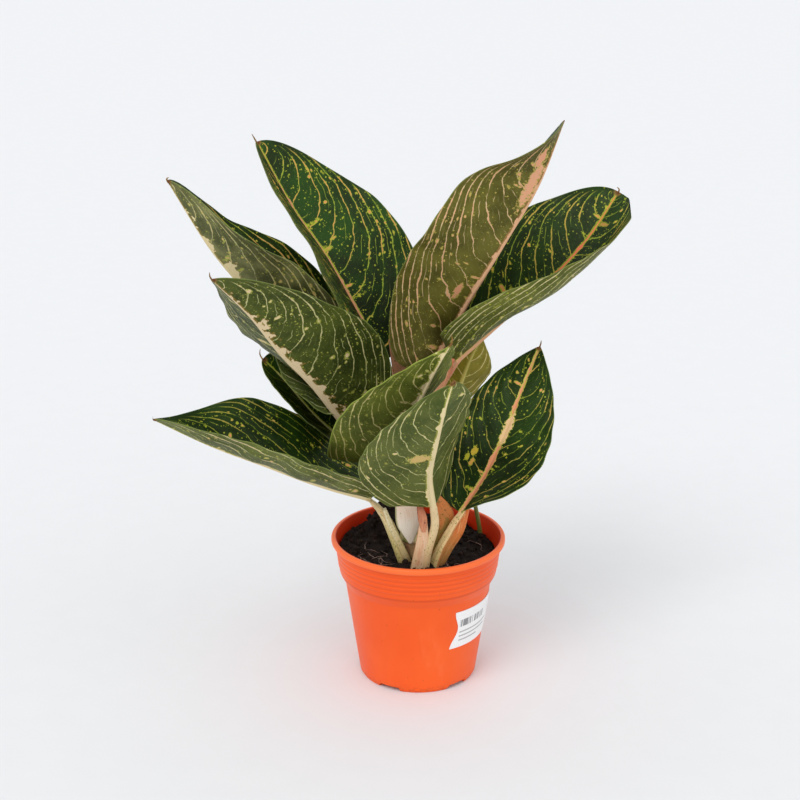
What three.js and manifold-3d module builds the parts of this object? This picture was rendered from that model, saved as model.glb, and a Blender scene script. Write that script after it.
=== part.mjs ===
// A chinese evergreen (aglaonema) in its plastic nursery pot, as a standalone three.js model.
// Units are millimetres, +Z is up. The origin is the middle of the pot's foot, on the surface it stands on.
// -Y is the plant's front and +X its right. The default export is a THREE.Group with one named mesh per piece.
import * as THREE from "three";
import { mergeVertices } from "three/addons/utils/BufferGeometryUtils.js";
import Module from "manifold-3d";

const wasm = await Module();
wasm.setup();

// ---------- driving dimensions ----------

const GAP = 0.3; // clearance between pieces that touch on the real plant

const POT = {
  height: 110,
  segments: 48,
  wall: 1.4,
  floorUnderside: 4, // the floor is raised inside its foot ring
  floorTop: 5.6,
  padRadius: 13, // a pad in the middle of the floor comes down to the foot ring's level
  footRingInner: 40.5,
  footRingOuter: 43,
  footRingHeight: 1.6,
  footRadius: 44, // outer radius of the wall at its lower edge
  shoulderRadius: 54.8,
  shoulderZ: 75,
  collarBottomRadius: 59,
  collarBottomZ: 83.5,
  collarTopRadius: 61.8,
  lipZ: 105.5, // underside of the lip
  lipRadius: 65,
  mouthRadius: 61.4,
  mouthTaper: 0.6, // how much narrower the mouth is at the lip's underside
  bevel: 1, // on the edges of the lip, the pad and the foot ring
};
const RIBS = { count: 4, pitch: 3.8, topZ: 99.8, height: 0.5, width: 1.3 };
const NOTCHES = { count: 5, firstDegrees: -120, spanDegrees: 22, height: 3.4, inset: 1, depth: 10 };
const DRAINS = { count: 4, radius: 4, circle: 24, sides: 16, depth: 8 };

const SOIL = {
  level: 101.5,
  rings: 8,
  segments: 48,
  fall: 6, // how much lower the right side is
  fallFrom: 25, // and between which x it gets lower
  fallTo: 60,
  edge: 91.5, // the height at which its surface meets the wall
};
const LUMPS = { height: 0.65, across: 0.31, along: 0.27, slant: [0.13, -0.19] }; // waves, in radians a millimetre
const MOUND = { x: -26, y: 34, radius: 17, height: 19 };
const CROWN = { x: 2, y: -30, radius: 26, height: 3 };
const STALK_HEAP = { x: 47, y: 22, radius: 9, height: 3 };

const LABEL = {
  topZ: 67.5,
  bottomZ: 36.5,
  length: 52,
  leftDegrees: -61, // from +X: the label starts to the right of the front
  thickness: 0.6,
  waist: 4.5, // depth of the die-cut wave in each end
  lean: 1.5, // how far each end leans
  columns: 16,
  rows: 8,
};

const BLADE = {
  edge: 0.8, // thickness of the blade away from its midrib
  ribDepth: 2.4, // how far the midrib stands out of the underside at the blade's base
  ribWidth: 2.6, // half the midrib's width there
  ribTip: 0.8, // and at the blade's tip
  ribShare: 0.4, // the midrib's greatest share of the blade's width
  ribFade: 0.8,
  neck: 2.4, // half the blade's width at its base
  point: 0.5, // and at its tip
  rows: 16,
  crowding: 1.3, // over 1, the rows lie closer together towards the base
  columns: 5, // on each side of the midrib
  belly: 0.72, // under 1, the widest place lies nearer the base
  baseShare: 0.4, // how far from the base its own bluntness counts
  lobeStart: 0.06,
};

const PETIOLE = { sides: 10, steps: 8, topWidth: 2.9, topDepth: 2.2 };

// Canes are the short stems that the petioles clasp. Path points run from the root up.
const CANES = [
  { name: "main_cane", path: [[-2, -24, 84], [-4, -18, 134], [-6, -11, 184], [-8, -4, 232]], radii: [8, 6.5] },
  { name: "front_cane", path: [[9, -32, 84], [10, -30, 98], [11, -28, 112], [12, -27, 124]], radii: [4.6, 3.2] },
];

// Loose sheaths in the crown: an orange-brown husk, and the dried tip of the front leaf's sheath.
const SHEATHS = [
  {
    name: "husk", path: [[12, -36, 92], [15, -36, 114], [20, -38, 138], [14, -42, 161]], azimuth: -70,
    widths: [4, 6.5, 7, 0.8], depths: [1.2, 1.2, 1, 0.5], color: "husk",
  },
  {
    name: "dried_sheath", path: [[4, -46, 130], [2, -47.5, 143], [1, -49.5, 152], [-2, -52, 161]], azimuth: -90,
    widths: [3.4, 3.6, 2.6, 0.6], depths: [1, 0.9, 0.8, 0.5], color: "dry",
  },
];

// Each leaf. midrib and path are points at even steps from the cane outwards.
// azimuth is the way the leaf grows, in degrees from +X towards +Y.
// right and left are its halves as seen from the cane: the greatest width, how blunt the base and tip are, how far
// the base reaches back past the top of the petiole, then the fold up from flat beside the midrib and the further
// curl to the margin, in degrees at even steps from base to tip.
// wave is the height, the number and the phase of the waves in its margins.
// A petiole's widths and depths are half sizes at even steps from its foot, up to but without its top.
const LEAVES = [
  {
    name: "leaf_01", // tall, at the back left: its face is turned to the front
    midrib: [[-24, 0, 247], [-45, 13, 281], [-67, 28, 317], [-92, 43, 350], [-118, 60, 394]],
    azimuth: 147, wave: [1, 2, 0],
    right: { width: 60, ends: [0.55, 0.42], lobe: 4, fold: [30, 25, 22], curl: [15, 15, 15] },
    left: { width: 57, ends: [0.45, 0.6], lobe: 4, fold: [36, 40, 38], curl: [12, 12, 10] },
    path: [[-7, -10, 168], [-8, -6, 194], [-13, -3, 222], [-24, 0, 247]], widths: [6, 4], depths: [2.6, 2.4],
  },
  {
    name: "leaf_02", // upper left
    midrib: [[-64, 0, 235], [-92, -8, 266], [-118, -17, 300], [-144, -26, 336], [-171, -36, 386]],
    azimuth: 198, wave: [1, 2, 1],
    right: { width: 52, ends: [0.42, 0.6], lobe: 10, fold: [46, 50, 55, 36, 25], curl: [16, 18, 16, 10, 10] },
    left: { width: 50, ends: [0.45, 0.6], lobe: 10, fold: [48, 46, 44, 32, 28], curl: [20, 20, 18, 14, 14] },
    path: [[-13, -14, 150], [-24, -8, 185], [-42, -3, 212], [-64, 0, 235]], widths: [6, 4], depths: [2.6, 2.4],
  },
  {
    name: "leaf_03", // middle left, its underside to the front
    midrib: [[-54, -30, 209], [-74, -46, 243], [-94, -63, 271], [-114, -82, 305], [-136, -102, 335]],
    azimuth: 221, wave: [1, 2, 2],
    right: { width: 46, ends: [0.45, 0.68], lobe: 10, fold: [30, 10, 2, 0, 10], curl: [10, 6, 6, 6, 6] },
    left: { width: 60, ends: [0.45, 0.56], lobe: 10, fold: [45, 48, 44, 34, 26], curl: [20, 18, 16, 14, 12] },
    path: [[-10, -21, 132], [-21, -26, 162], [-36, -28, 188], [-54, -30, 209]], widths: [6, 4], depths: [2.6, 2.4],
  },
  {
    name: "leaf_04", // the tallest, its underside to the front
    midrib: [[8, -1, 240], [34, -15, 295], [58, -31, 342], [79, -46, 385], [94, -60, 431]],
    azimuth: -35, wave: [1, 2, 0],
    right: { width: 60, ends: [0.4, 0.55], lobe: 2, fold: [15, 34, 30, 36, -20], curl: [8, 10, 10, 14, 0] },
    left: { width: 52, ends: [1.4, 0.75], lobe: 6, fold: [50, 60, 60, 45, 30], curl: [20, 24, 20, 10, 10] },
    path: [[-2, -9, 172], [-1, -8, 195], [2, -5, 218], [8, -1, 240]], widths: [6, 4], depths: [2.6, 2.4],
  },
  {
    name: "leaf_05", // upper right, its face upwards, the near half cupped and the tip hooked
    midrib: [[26, -8, 248], [58, 4, 274], [91, 16, 299], [121, 28, 329], [144, 38, 362]],
    azimuth: 20, wave: [1, 2, 0],
    right: { width: 54, ends: [0.45, 0.4], lobe: 5, fold: [15, -8, -24, -20, -20], curl: [40, 100, 110, 60, 0] },
    left: { width: 61, ends: [0.8, 0.5], lobe: 5, fold: [35, 38, 42, 42, 40], curl: [10, 12, 12, 14, 14] },
    path: [[3, -13, 162], [6, -12, 192], [13, -10, 222], [26, -8, 248]], widths: [6, 4], depths: [2.6, 2.4],
  },
  {
    name: "leaf_06", // lower left, nearly level
    midrib: [[-35, -34, 153], [-72, -41, 167], [-109, -47, 184], [-146, -53, 201], [-185, -60, 223]],
    azimuth: 190, wave: [1, 2, 0],
    right: { width: 50, ends: [0.45, 0.6], lobe: 10, fold: [20, 25, 38, 42, 10], curl: [10, 12, 20, 16, 10] },
    left: { width: 42, ends: [0.45, 0.6], lobe: 10, fold: [20, 10, 12, 20, 30], curl: [40, 50, 46, 30, 10] },
    path: [[-8, -28, 94], [-16, -29, 118], [-24, -31, 137], [-35, -34, 153]], widths: [5, 4], depths: [4, 3.4],
    sheath: { path: [[-6, -27, 94], [-11, -28, 115], [-19, -28, 133], [-26, -28, 145]], widths: [2, 2, 1.6], depths: [3, 3, 1.6] },
  },
  {
    name: "leaf_07", // lower right, its face to the front
    midrib: [[30, -44, 146], [48, -31, 171], [63, -17, 199], [76, -3, 229], [88, 10, 254]],
    azimuth: 43, wave: [1, 2, 0],
    right: { width: 40, ends: [1.5, 0.75], lobe: 0, fold: [20, 4, -10, -10, 0], curl: [0, 0, 0, 0, 0] },
    left: { width: 41, ends: [0.5, 0.66], lobe: 5, fold: [14, 18, 16, 14, 10], curl: [0, 0, 0, 0, 0] },
    path: [[9, -36, 92], [15, -38, 112], [23, -41, 130], [30, -44, 146]], widths: [9, 6.5], depths: [3.4, 3],
  },
  {
    name: "leaf_08", // small and half unrolled, under the middle left leaf
    midrib: [[-61, 4, 188], [-76, 6, 202], [-89, 8, 217], [-102, 11, 232], [-114, 14, 243]],
    azimuth: 150, wave: [0.5, 2, 0],
    right: { width: 28, ends: [0.45, 0.6], lobe: 4, fold: [20, 10, 5, 5, 10], curl: [120, 190, 200, 180, 60] },
    left: { width: 27, ends: [0.45, 0.5], lobe: 4, fold: [25, 18, 12, 10, 10], curl: [10, 10, 10, 10, 10] },
    path: [[-13, -12, 125], [-22, -3, 148], [-38, 2, 170], [-61, 4, 188]], widths: [5, 3.5], depths: [2.4, 2.2],
  },
  {
    name: "leaf_09", // in front of the middle, its underside to the front
    midrib: [[-31, -42, 178], [-17, -62, 208], [-2, -84, 242], [10, -103, 274], [20, -110, 294]],
    azimuth: -66, wave: [1, 2, 0],
    right: { width: 50, ends: [0.3, 1.6], lobe: 22, fold: [25, 15, 10, 10, 10], curl: [10, 10, 10, 10, 10] },
    left: { width: 36, ends: [0.8, 0.6], lobe: 6, fold: [50, 48, 46, 44, 40], curl: [10, 10, 10, 10, 10] },
    path: [[-6, -30.5, 112], [-8, -29, 131], [-12, -31, 154], [-31, -42, 178]], widths: [3.5, 9, 7], depths: [1.6, 3, 2.6],
  },
  {
    name: "leaf_10", // the front one, its underside to the front
    midrib: [[10, -57, 156], [7, -77, 188], [11, -98, 220], [16, -114, 250], [21, -118, 270]],
    azimuth: -78, wave: [1, 2, 0],
    right: { width: 51, ends: [0.45, 1.2], lobe: 7, fold: [10, 0, -5, -5, 0], curl: [10, 10, 10, 10, 10] },
    left: { width: 38, ends: [0.55, 0.55], lobe: 2, fold: [45, 42, 38, 30, 24], curl: [10, 10, 10, 10, 10] },
    path: [[-1, -41, 96], [3, -44, 118], [7, -48, 138], [10, -57, 156]], widths: [8, 6], depths: [2.8, 2.4],
  },
  {
    name: "leaf_11", // small, behind the right hand leaves, on a thin green stalk of its own
    midrib: [[25, 20, 206], [31, 17, 223], [35, 14, 236], [40, 10, 250], [46, 6, 262]],
    azimuth: -75, wave: [0.5, 2, 0],
    right: { width: 20, ends: [0.45, 0.6], lobe: 4, fold: [30, 30, 30], curl: [10, 10, 10] },
    left: { width: 24, ends: [0.45, 1], lobe: 4, fold: [20, 10, 10], curl: [10, 10, 10] },
    path: [[49, 23, 92], [45, 21, 116], [36, 20, 160], [25, 20, 206]], widths: [1.8, 1.6, 1.6], depths: [1.6, 1.6, 1.6],
  },
];

const COLORS = {
  pot: 0xf36230, soil: 0x1c1512, label: 0xf4f4f2, cane: 0x9aa35a,
  leaf: 0x1f3d1e, petiole: 0xe1cda5, dry: 0x9c4a28, husk: 0xc87a40,
};

// ---------- numbers and curves ----------

const radians = THREE.MathUtils.degToRad;
const lerp = THREE.MathUtils.lerp;
const smooth = THREE.MathUtils.smoothstep;
const vec = (p) => new THREE.Vector3(...p);

// A smooth curve through evenly spaced values, t from 0 at the first to 1 at the last.
function spline(values, t) {
  const spans = values.length - 1;
  const i = Math.min(Math.max(Math.floor(t * spans), 0), spans - 1);
  const s = t * spans - i;
  const [b, c] = [values[i], values[i + 1]];
  const a = values[i - 1] ?? 2 * b - c;
  const d = values[i + 2] ?? 2 * c - b;
  return b + 0.5 * s * (c - a + s * (2 * a - 5 * b + 4 * c - d + s * (3 * (b - c) + d - a)));
}

function pointOn(points, t) {
  return new THREE.Vector3(...[0, 1, 2].map((axis) => spline(points.map((point) => point[axis]), t)));
}

function direction(points, t) {
  const step = 1e-4;
  return pointOn(points, t + step).sub(pointOn(points, t - step)).normalize();
}

// Axes across a leaf at t along one of its curves: out along it, towards its right, and up from its face.
function leafAxes(points, t, azimuth) {
  const out = direction(points, t);
  const angle = radians(azimuth);
  const right = new THREE.Vector3(Math.sin(angle), -Math.cos(angle), 0);
  right.addScaledVector(out, -right.dot(out)).normalize();
  const up = new THREE.Vector3().crossVectors(right, out);
  return { out, right, up };
}

// ---------- closed bodies ----------

function bodyFromTriangles(positions, triangles) {
  const geometry = new THREE.BufferGeometry();
  geometry.setAttribute("position", new THREE.Float32BufferAttribute(positions, 3));
  geometry.setIndex(triangles);
  return geometry;
}

// A closed skin over rings of equal length, each a list of points, with both ends capped.
function loft(rings) {
  const count = rings[0].length;
  const points = rings.flat();
  const triangles = [];
  for (let i = 0; i + 1 < rings.length; i++) {
    for (let j = 0; j < count; j++) {
      const a = i * count + j;
      const b = i * count + ((j + 1) % count);
      triangles.push(a, b, b + count, a, b + count, a + count);
    }
  }
  const centre = (ring) => ring.reduce((sum, p) => sum.add(p), new THREE.Vector3()).divideScalar(count);
  const first = points.length;
  points.push(centre(rings[0]), centre(rings.at(-1)));
  const lastRing = (rings.length - 1) * count;
  for (let j = 0; j < count; j++) {
    const next = (j + 1) % count;
    triangles.push(first, next, j, first + 1, lastRing + j, lastRing + next);
  }
  return bodyFromTriangles(points.flatMap((p) => p.toArray()), triangles);
}

function solid(geometry) {
  const bare = geometry.clone();
  bare.deleteAttribute("normal");
  bare.deleteAttribute("uv");
  const merged = mergeVertices(bare, 1e-4);
  return new wasm.Manifold(new wasm.Mesh({
    numProp: 3,
    vertProperties: new Float32Array(merged.attributes.position.array),
    triVerts: new Uint32Array(merged.index.array),
  }));
}

function geometryOf(manifold) {
  const mesh = manifold.getMesh();
  return bodyFromTriangles([...mesh.vertProperties], [...mesh.triVerts]);
}

// The largest connected piece of a solid, without any loose scrap that a cut left.
function largest(manifold) {
  return manifold.decompose().reduce((best, piece) => (piece.volume() > best.volume() ? piece : best));
}

// ---------- pot, soil and label ----------

// Radius of the pot's outside at height z, without ribs and lip.
function potRadius(z) {
  const stations = [
    [POT.footRingHeight, POT.footRadius],
    [POT.shoulderZ, POT.shoulderRadius],
    [POT.collarBottomZ, POT.collarBottomRadius],
    [POT.lipZ, POT.collarTopRadius],
    [POT.height, POT.collarTopRadius],
  ];
  const above = Math.max(1, stations.findIndex(([height]) => height >= z));
  const [[z0, r0], [z1, r1]] = stations.slice(above - 1, above + 1);
  return lerp(r0, r1, (z - z0) / (z1 - z0));
}

function potProfile() {
  const outside = [
    [0, 0],
    [POT.padRadius, 0],
    [POT.padRadius + POT.bevel, POT.floorUnderside],
    [POT.footRingInner - POT.bevel, POT.floorUnderside],
    [POT.footRingInner, 0],
    [POT.footRingOuter, 0],
    [POT.footRingOuter, POT.footRingHeight],
    [POT.footRadius, POT.footRingHeight],
    [POT.shoulderRadius, POT.shoulderZ],
    [POT.collarBottomRadius, POT.collarBottomZ],
  ];
  for (let rib = RIBS.count - 1; rib >= 0; rib--) {
    const z = RIBS.topZ - rib * RIBS.pitch;
    outside.push([potRadius(z - RIBS.width), z - RIBS.width]);
    outside.push([potRadius(z) + RIBS.height, z]);
    outside.push([potRadius(z + RIBS.width), z + RIBS.width]);
  }
  outside.push([POT.collarTopRadius, POT.lipZ - POT.bevel]);
  outside.push([POT.lipRadius - POT.bevel, POT.lipZ]);
  outside.push([POT.lipRadius, POT.lipZ + POT.bevel]);
  outside.push([POT.lipRadius, POT.height - POT.bevel]);
  outside.push([POT.lipRadius - POT.bevel, POT.height]);
  const inside = [
    [POT.mouthRadius + POT.bevel / 2, POT.height],
    [POT.mouthRadius, POT.height - POT.bevel / 2],
    [POT.mouthRadius - POT.mouthTaper, POT.lipZ],
    [POT.collarBottomRadius - POT.wall, POT.collarBottomZ],
    [POT.shoulderRadius - POT.wall, POT.shoulderZ],
    [potRadius(POT.floorTop) - POT.wall, POT.floorTop],
    [POT.padRadius, POT.floorTop],
    [POT.padRadius - POT.bevel, POT.wall],
    [0, POT.wall],
  ];
  return [...outside, ...inside].map(([r, z]) => new THREE.Vector2(r, z));
}

// Radius of the pot's inside at height z.
function potInside(z) {
  const mouth = POT.mouthRadius - POT.mouthTaper;
  if (z > POT.lipZ) return mouth;
  if (z > POT.collarBottomZ) {
    const t = (z - POT.collarBottomZ) / (POT.lipZ - POT.collarBottomZ);
    return lerp(POT.collarBottomRadius - POT.wall, mouth, t);
  }
  return potRadius(z) - POT.wall;
}

// A lathe turns about +Y: this stands it up along +Z.
function lathe(profile, segments) {
  return new THREE.LatheGeometry(profile, segments).rotateX(Math.PI / 2);
}

function potGeometry() {
  let pot = solid(lathe(potProfile(), POT.segments));
  for (let i = 0; i < NOTCHES.count; i++) {
    const angle = radians(NOTCHES.firstDegrees + (i * 360) / NOTCHES.count);
    const width = 2 * POT.footRadius * Math.sin(radians(NOTCHES.spanDegrees / 2));
    const cutter = new THREE.BoxGeometry(NOTCHES.depth, width, NOTCHES.height * 2);
    cutter.translate(POT.footRingInner - NOTCHES.inset + NOTCHES.depth / 2, 0, 0).rotateZ(angle);
    pot = pot.subtract(solid(cutter));
  }
  for (let i = 0; i < DRAINS.count; i++) {
    const angle = ((i + 0.5) * 2 * Math.PI) / DRAINS.count;
    const drill = new THREE.CylinderGeometry(DRAINS.radius, DRAINS.radius, DRAINS.depth, DRAINS.sides);
    drill.rotateX(Math.PI / 2);
    drill.translate(DRAINS.circle * Math.cos(angle), DRAINS.circle * Math.sin(angle), POT.floorTop);
    pot = pot.subtract(solid(drill));
  }
  return geometryOf(pot);
}

// Height of the soil at a point: a level bed with lumps, heaped in three places.
function soilHeight(x, y) {
  const lumps = Math.sin(x * LUMPS.across) * Math.sin(y * LUMPS.along) + Math.sin(x * LUMPS.slant[0] + y * LUMPS.slant[1]);
  const heaps = [MOUND, CROWN, STALK_HEAP].reduce((sum, heap) => {
    const distance = Math.hypot(x - heap.x, y - heap.y) / heap.radius;
    return sum + heap.height * (1 - smooth(distance, 0, 1));
  }, 0);
  return SOIL.level + LUMPS.height * lumps + heaps - SOIL.fall * smooth(x, SOIL.fallFrom, SOIL.fallTo);
}

function soilGeometry() {
  const rings = [];
  const ring = (radius, height) => {
    const points = [];
    for (let j = 0; j < SOIL.segments; j++) {
      const angle = (j * 2 * Math.PI) / SOIL.segments;
      const x = radius * Math.cos(angle);
      const y = radius * Math.sin(angle);
      points.push(new THREE.Vector3(x, y, height ?? soilHeight(x, y)));
    }
    rings.push(points);
  };
  for (const z of [POT.floorTop + GAP, POT.shoulderZ, POT.collarBottomZ]) ring(potInside(z) - GAP, z);
  const edge = potInside(SOIL.edge) - GAP;
  for (let i = SOIL.rings; i >= 1; i--) ring((edge * i) / SOIL.rings);
  return loft(rings);
}

// A sticker wrapped round the tapered wall, with a wave cut into both ends.
function labelGeometry() {
  const middleRadius = potRadius((LABEL.topZ + LABEL.bottomZ) / 2);
  const rings = [];
  for (let i = 0; i <= LABEL.rows; i++) {
    const t = i / LABEL.rows;
    const z = lerp(LABEL.bottomZ, LABEL.topZ, t);
    const inset = LABEL.waist * Math.sin(Math.PI * t) ** 2 + LABEL.lean * (2 * t - 1);
    const left = radians(LABEL.leftDegrees) + inset / middleRadius;
    const right = radians(LABEL.leftDegrees) + (LABEL.length - inset) / middleRadius;
    const arc = (radius) => {
      const points = [];
      for (let j = 0; j <= LABEL.columns; j++) {
        const angle = lerp(right, left, j / LABEL.columns);
        points.push(new THREE.Vector3(radius * Math.cos(angle), radius * Math.sin(angle), z));
      }
      return points;
    };
    const inner = potRadius(z) + GAP;
    rings.push([...arc(inner + LABEL.thickness), ...arc(inner).reverse()]);
  }
  return sheetBody(rings, LABEL.columns + 1);
}

// ---------- leaves ----------

// Half width of a blade as a share of its greatest, u from base to tip. The smaller an end's number, the blunter.
function outline(u, [base, tip]) {
  return Math.sin(Math.PI * u ** BLADE.belly) ** lerp(base, tip, smooth(u, 0, BLADE.baseShare));
}

// Points across one half of a blade, from the midrib out to its margin, with the normals of its face.
function halfSection(leaf, half, side, u) {
  const axes = leafAxes(leaf.midrib, u, leaf.azimuth);
  const middle = pointOn(leaf.midrib, u);
  const neck = lerp(BLADE.neck, BLADE.point, u);
  const width = Math.max(neck, half.width * outline(u, half.ends));
  const rib = Math.min(lerp(BLADE.ribWidth, BLADE.ribTip, u), width * BLADE.ribShare);
  const fold = radians(spline(half.fold, u));
  const curl = radians(spline(half.curl, u));
  const [amplitude, waves, phase] = leaf.wave;
  const section = [];
  let point = middle.clone();
  let reached = 0;
  for (let j = 0; j <= BLADE.columns; j++) {
    const distance = j === 0 ? 0 : lerp(rib, width, (j - 1) / (BLADE.columns - 1));
    const angleHere = fold + (curl * distance) / width;
    const angle = fold + (curl * (distance + reached)) / (2 * width);
    point = point.clone();
    point.addScaledVector(axes.right, side * Math.cos(angle) * (distance - reached));
    point.addScaledVector(axes.up, Math.sin(angle) * (distance - reached));
    reached = distance;
    const normal = axes.up.clone().multiplyScalar(Math.cos(angleHere));
    normal.addScaledVector(axes.right, -side * Math.sin(angleHere));
    const back = half.lobe * (distance / width) * (1 - u) ** 3 * smooth(u, 0, BLADE.lobeStart);
    const lift = amplitude * Math.sin(2 * Math.PI * waves * u + phase + side) * (distance / width) ** 2;
    const waved = point.clone().addScaledVector(normal, lift * Math.sin(Math.PI * u));
    waved.addScaledVector(axes.out, -back);
    section.push({ point: waved, normal: j === 0 ? axes.up : normal });
  }
  return section;
}

function bladeGeometry(leaf) {
  const rings = [];
  for (let i = 0; i < BLADE.rows; i++) {
    const u = (i / (BLADE.rows - 1)) ** BLADE.crowding;
    const right = halfSection(leaf, leaf.right, 1, u);
    const left = halfSection(leaf, leaf.left, -1, u);
    const across = [...right.toReversed(), ...left.slice(1)];
    const face = across.map(({ point, normal }) => point.clone().addScaledVector(normal, BLADE.edge / 2));
    const back = across.map(({ point, normal }, j) => {
      const rib = j === BLADE.columns ? BLADE.ribDepth * (1 - u) ** BLADE.ribFade : 0;
      return point.clone().addScaledVector(normal, -BLADE.edge / 2 - rib);
    });
    rings.push([...face, ...back.toReversed()]);
  }
  return sheetBody(rings, 2 * BLADE.columns + 1);
}

// A thin body from rings that go across its face and back across its underside.
// Both faces are split into triangles alike, about the middle column.
function sheetBody(rings, across) {
  const count = 2 * across;
  const points = rings.flat();
  const triangles = [];
  const under = (j) => count - 1 - j;
  const middle = (across - 1) / 2;
  for (let i = 0; i + 1 < rings.length; i++) {
    const at = (row, j) => (i + row) * count + j;
    for (let j = 0; j + 1 < across; j++) {
      const face = [at(0, j), at(1, j), at(1, j + 1), at(0, j + 1)];
      const back = [at(0, under(j)), at(1, under(j)), at(1, under(j + 1)), at(0, under(j + 1))];
      const [a, b, c, d] = face;
      const [e, f, g, h] = back;
      if (j < middle) triangles.push(a, b, c, a, c, d, e, g, f, e, h, g);
      else triangles.push(a, b, d, b, c, d, e, h, f, f, h, g);
    }
    for (const [from, to] of [[under(0), 0], [across - 1, across]]) {
      triangles.push(at(0, from), at(1, from), at(1, to), at(0, from), at(1, to), at(0, to));
    }
  }
  const last = (rings.length - 1) * count;
  for (let j = 0; j + 1 < across; j++) {
    triangles.push(j, j + 1, under(j + 1), j, under(j + 1), under(j));
    triangles.push(last + j, last + under(j + 1), last + j + 1, last + j, last + under(j), last + under(j + 1));
  }
  return bodyFromTriangles(points.flatMap((p) => p.toArray()), triangles);
}

// A stalk of elliptical section. grow thickens it, to cut a clear seat for it in its neighbours.
function stalkGeometry({ path, azimuth, widths, depths, lastAxes }, grow = 0) {
  const rings = [];
  for (let i = 0; i <= PETIOLE.steps; i++) {
    const t = i / PETIOLE.steps;
    let axes = leafAxes(path, t, azimuth);
    if (lastAxes && i === PETIOLE.steps) axes = lastAxes;
    const middle = pointOn(path, t);
    if (i === PETIOLE.steps) middle.addScaledVector(axes.out, grow - (lastAxes ? GAP : 0));
    const ring = [];
    for (let j = 0; j < PETIOLE.sides; j++) {
      const angle = (j * 2 * Math.PI) / PETIOLE.sides;
      const point = middle.clone();
      point.addScaledVector(axes.right, (spline(widths, t) + grow) * Math.cos(angle));
      point.addScaledVector(axes.up, -(spline(depths, t) + grow) * Math.sin(angle));
      ring.push(point);
    }
    rings.push(ring);
  }
  return loft(rings);
}

function petioleOf(leaf) {
  return {
    path: leaf.path,
    azimuth: leaf.azimuth,
    widths: [...leaf.widths, PETIOLE.topWidth],
    depths: [...leaf.depths, PETIOLE.topDepth],
    lastAxes: leafAxes(leaf.midrib, 0, leaf.azimuth),
  };
}

// A petiole with the loose end of its sheath, if it has one.
function petioleSolid(leaf, grow = 0) {
  const petiole = solid(stalkGeometry(petioleOf(leaf), grow));
  if (!leaf.sheath) return petiole;
  return petiole.add(solid(stalkGeometry({ ...leaf.sheath, azimuth: leaf.azimuth }, grow)));
}

function caneOf({ path, radii }) {
  return { path, azimuth: 0, widths: radii, depths: radii };
}

// ---------- assembly ----------

function piece(name, geometry, color, roughness) {
  const material = new THREE.MeshStandardMaterial({ color, roughness, metalness: 0 });
  const mesh = new THREE.Mesh(geometry, material);
  mesh.name = name;
  return mesh;
}

const group = new THREE.Group();
group.add(piece("pot", potGeometry(), COLORS.pot, 0.45));
group.add(piece("label", labelGeometry(), COLORS.label, 0.5));

// Stems are cut clear of those before them, and the soil of them all.
const stems = [];
const addStem = (name, color, shape) => stems.push({ name, color, shape });
for (const cane of CANES) addStem(cane.name, COLORS.cane, (grow) => solid(stalkGeometry(caneOf(cane), grow)));
for (const leaf of LEAVES) addStem(`${leaf.name}_petiole`, COLORS.petiole, (grow) => petioleSolid(leaf, grow));
for (const sheath of SHEATHS) addStem(sheath.name, COLORS[sheath.color], (grow) => solid(stalkGeometry(sheath, grow)));
let cleared = null;
let soil = solid(soilGeometry());
for (const { name, shape, color } of stems) {
  const whole = shape(0);
  const stem = cleared ? largest(whole.subtract(cleared)) : whole;
  const grown = shape(GAP);
  cleared = cleared ? cleared.add(grown) : grown;
  soil = soil.subtract(grown);
  group.add(piece(name, geometryOf(stem), color, 0.5));
}
group.add(piece("soil", geometryOf(largest(soil)), COLORS.soil, 1));
for (const leaf of LEAVES) group.add(piece(`${leaf.name}_blade`, bladeGeometry(leaf), COLORS.leaf, 0.35));

export default group;
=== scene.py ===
import math
import bpy
import numpy as np
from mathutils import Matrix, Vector, noise


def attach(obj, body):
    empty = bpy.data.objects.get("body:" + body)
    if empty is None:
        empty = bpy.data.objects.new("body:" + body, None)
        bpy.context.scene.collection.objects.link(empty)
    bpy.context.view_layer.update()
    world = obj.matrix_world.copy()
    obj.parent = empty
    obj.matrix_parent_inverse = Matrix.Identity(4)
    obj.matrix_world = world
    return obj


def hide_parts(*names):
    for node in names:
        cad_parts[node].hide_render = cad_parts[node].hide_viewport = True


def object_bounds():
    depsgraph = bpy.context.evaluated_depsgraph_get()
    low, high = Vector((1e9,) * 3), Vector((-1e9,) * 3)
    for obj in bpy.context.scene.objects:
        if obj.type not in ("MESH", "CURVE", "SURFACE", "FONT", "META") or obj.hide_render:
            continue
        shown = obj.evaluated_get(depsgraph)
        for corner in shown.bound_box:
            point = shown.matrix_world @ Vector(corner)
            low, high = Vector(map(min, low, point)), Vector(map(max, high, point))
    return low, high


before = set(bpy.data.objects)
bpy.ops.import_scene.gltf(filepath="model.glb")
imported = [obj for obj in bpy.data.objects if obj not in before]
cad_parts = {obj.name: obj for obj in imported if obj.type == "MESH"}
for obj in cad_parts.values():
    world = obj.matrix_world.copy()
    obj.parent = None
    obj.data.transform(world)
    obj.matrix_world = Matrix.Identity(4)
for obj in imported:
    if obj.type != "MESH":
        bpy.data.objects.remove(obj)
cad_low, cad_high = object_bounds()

# A chinese evergreen in its plastic nursery pot, worked out in millimetres in the CAD model's frame.
MM = 0.001
FULL_TURN = 2 * math.pi
MARGIN = 2e-5  # metres by which every point stays inside the CAD model's box
CAD_BOX = (np.array(cad_low) + MARGIN, np.array(cad_high) - MARGIN)
RIB_PITCH = 3.8
RIBS = [99.8 - RIB_PITCH * k for k in (3, 2, 1, 0)]  # heights of the ribs on the pot's collar
rng = np.random.default_rng(11)

# ---------- numbers and curves ----------


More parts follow.
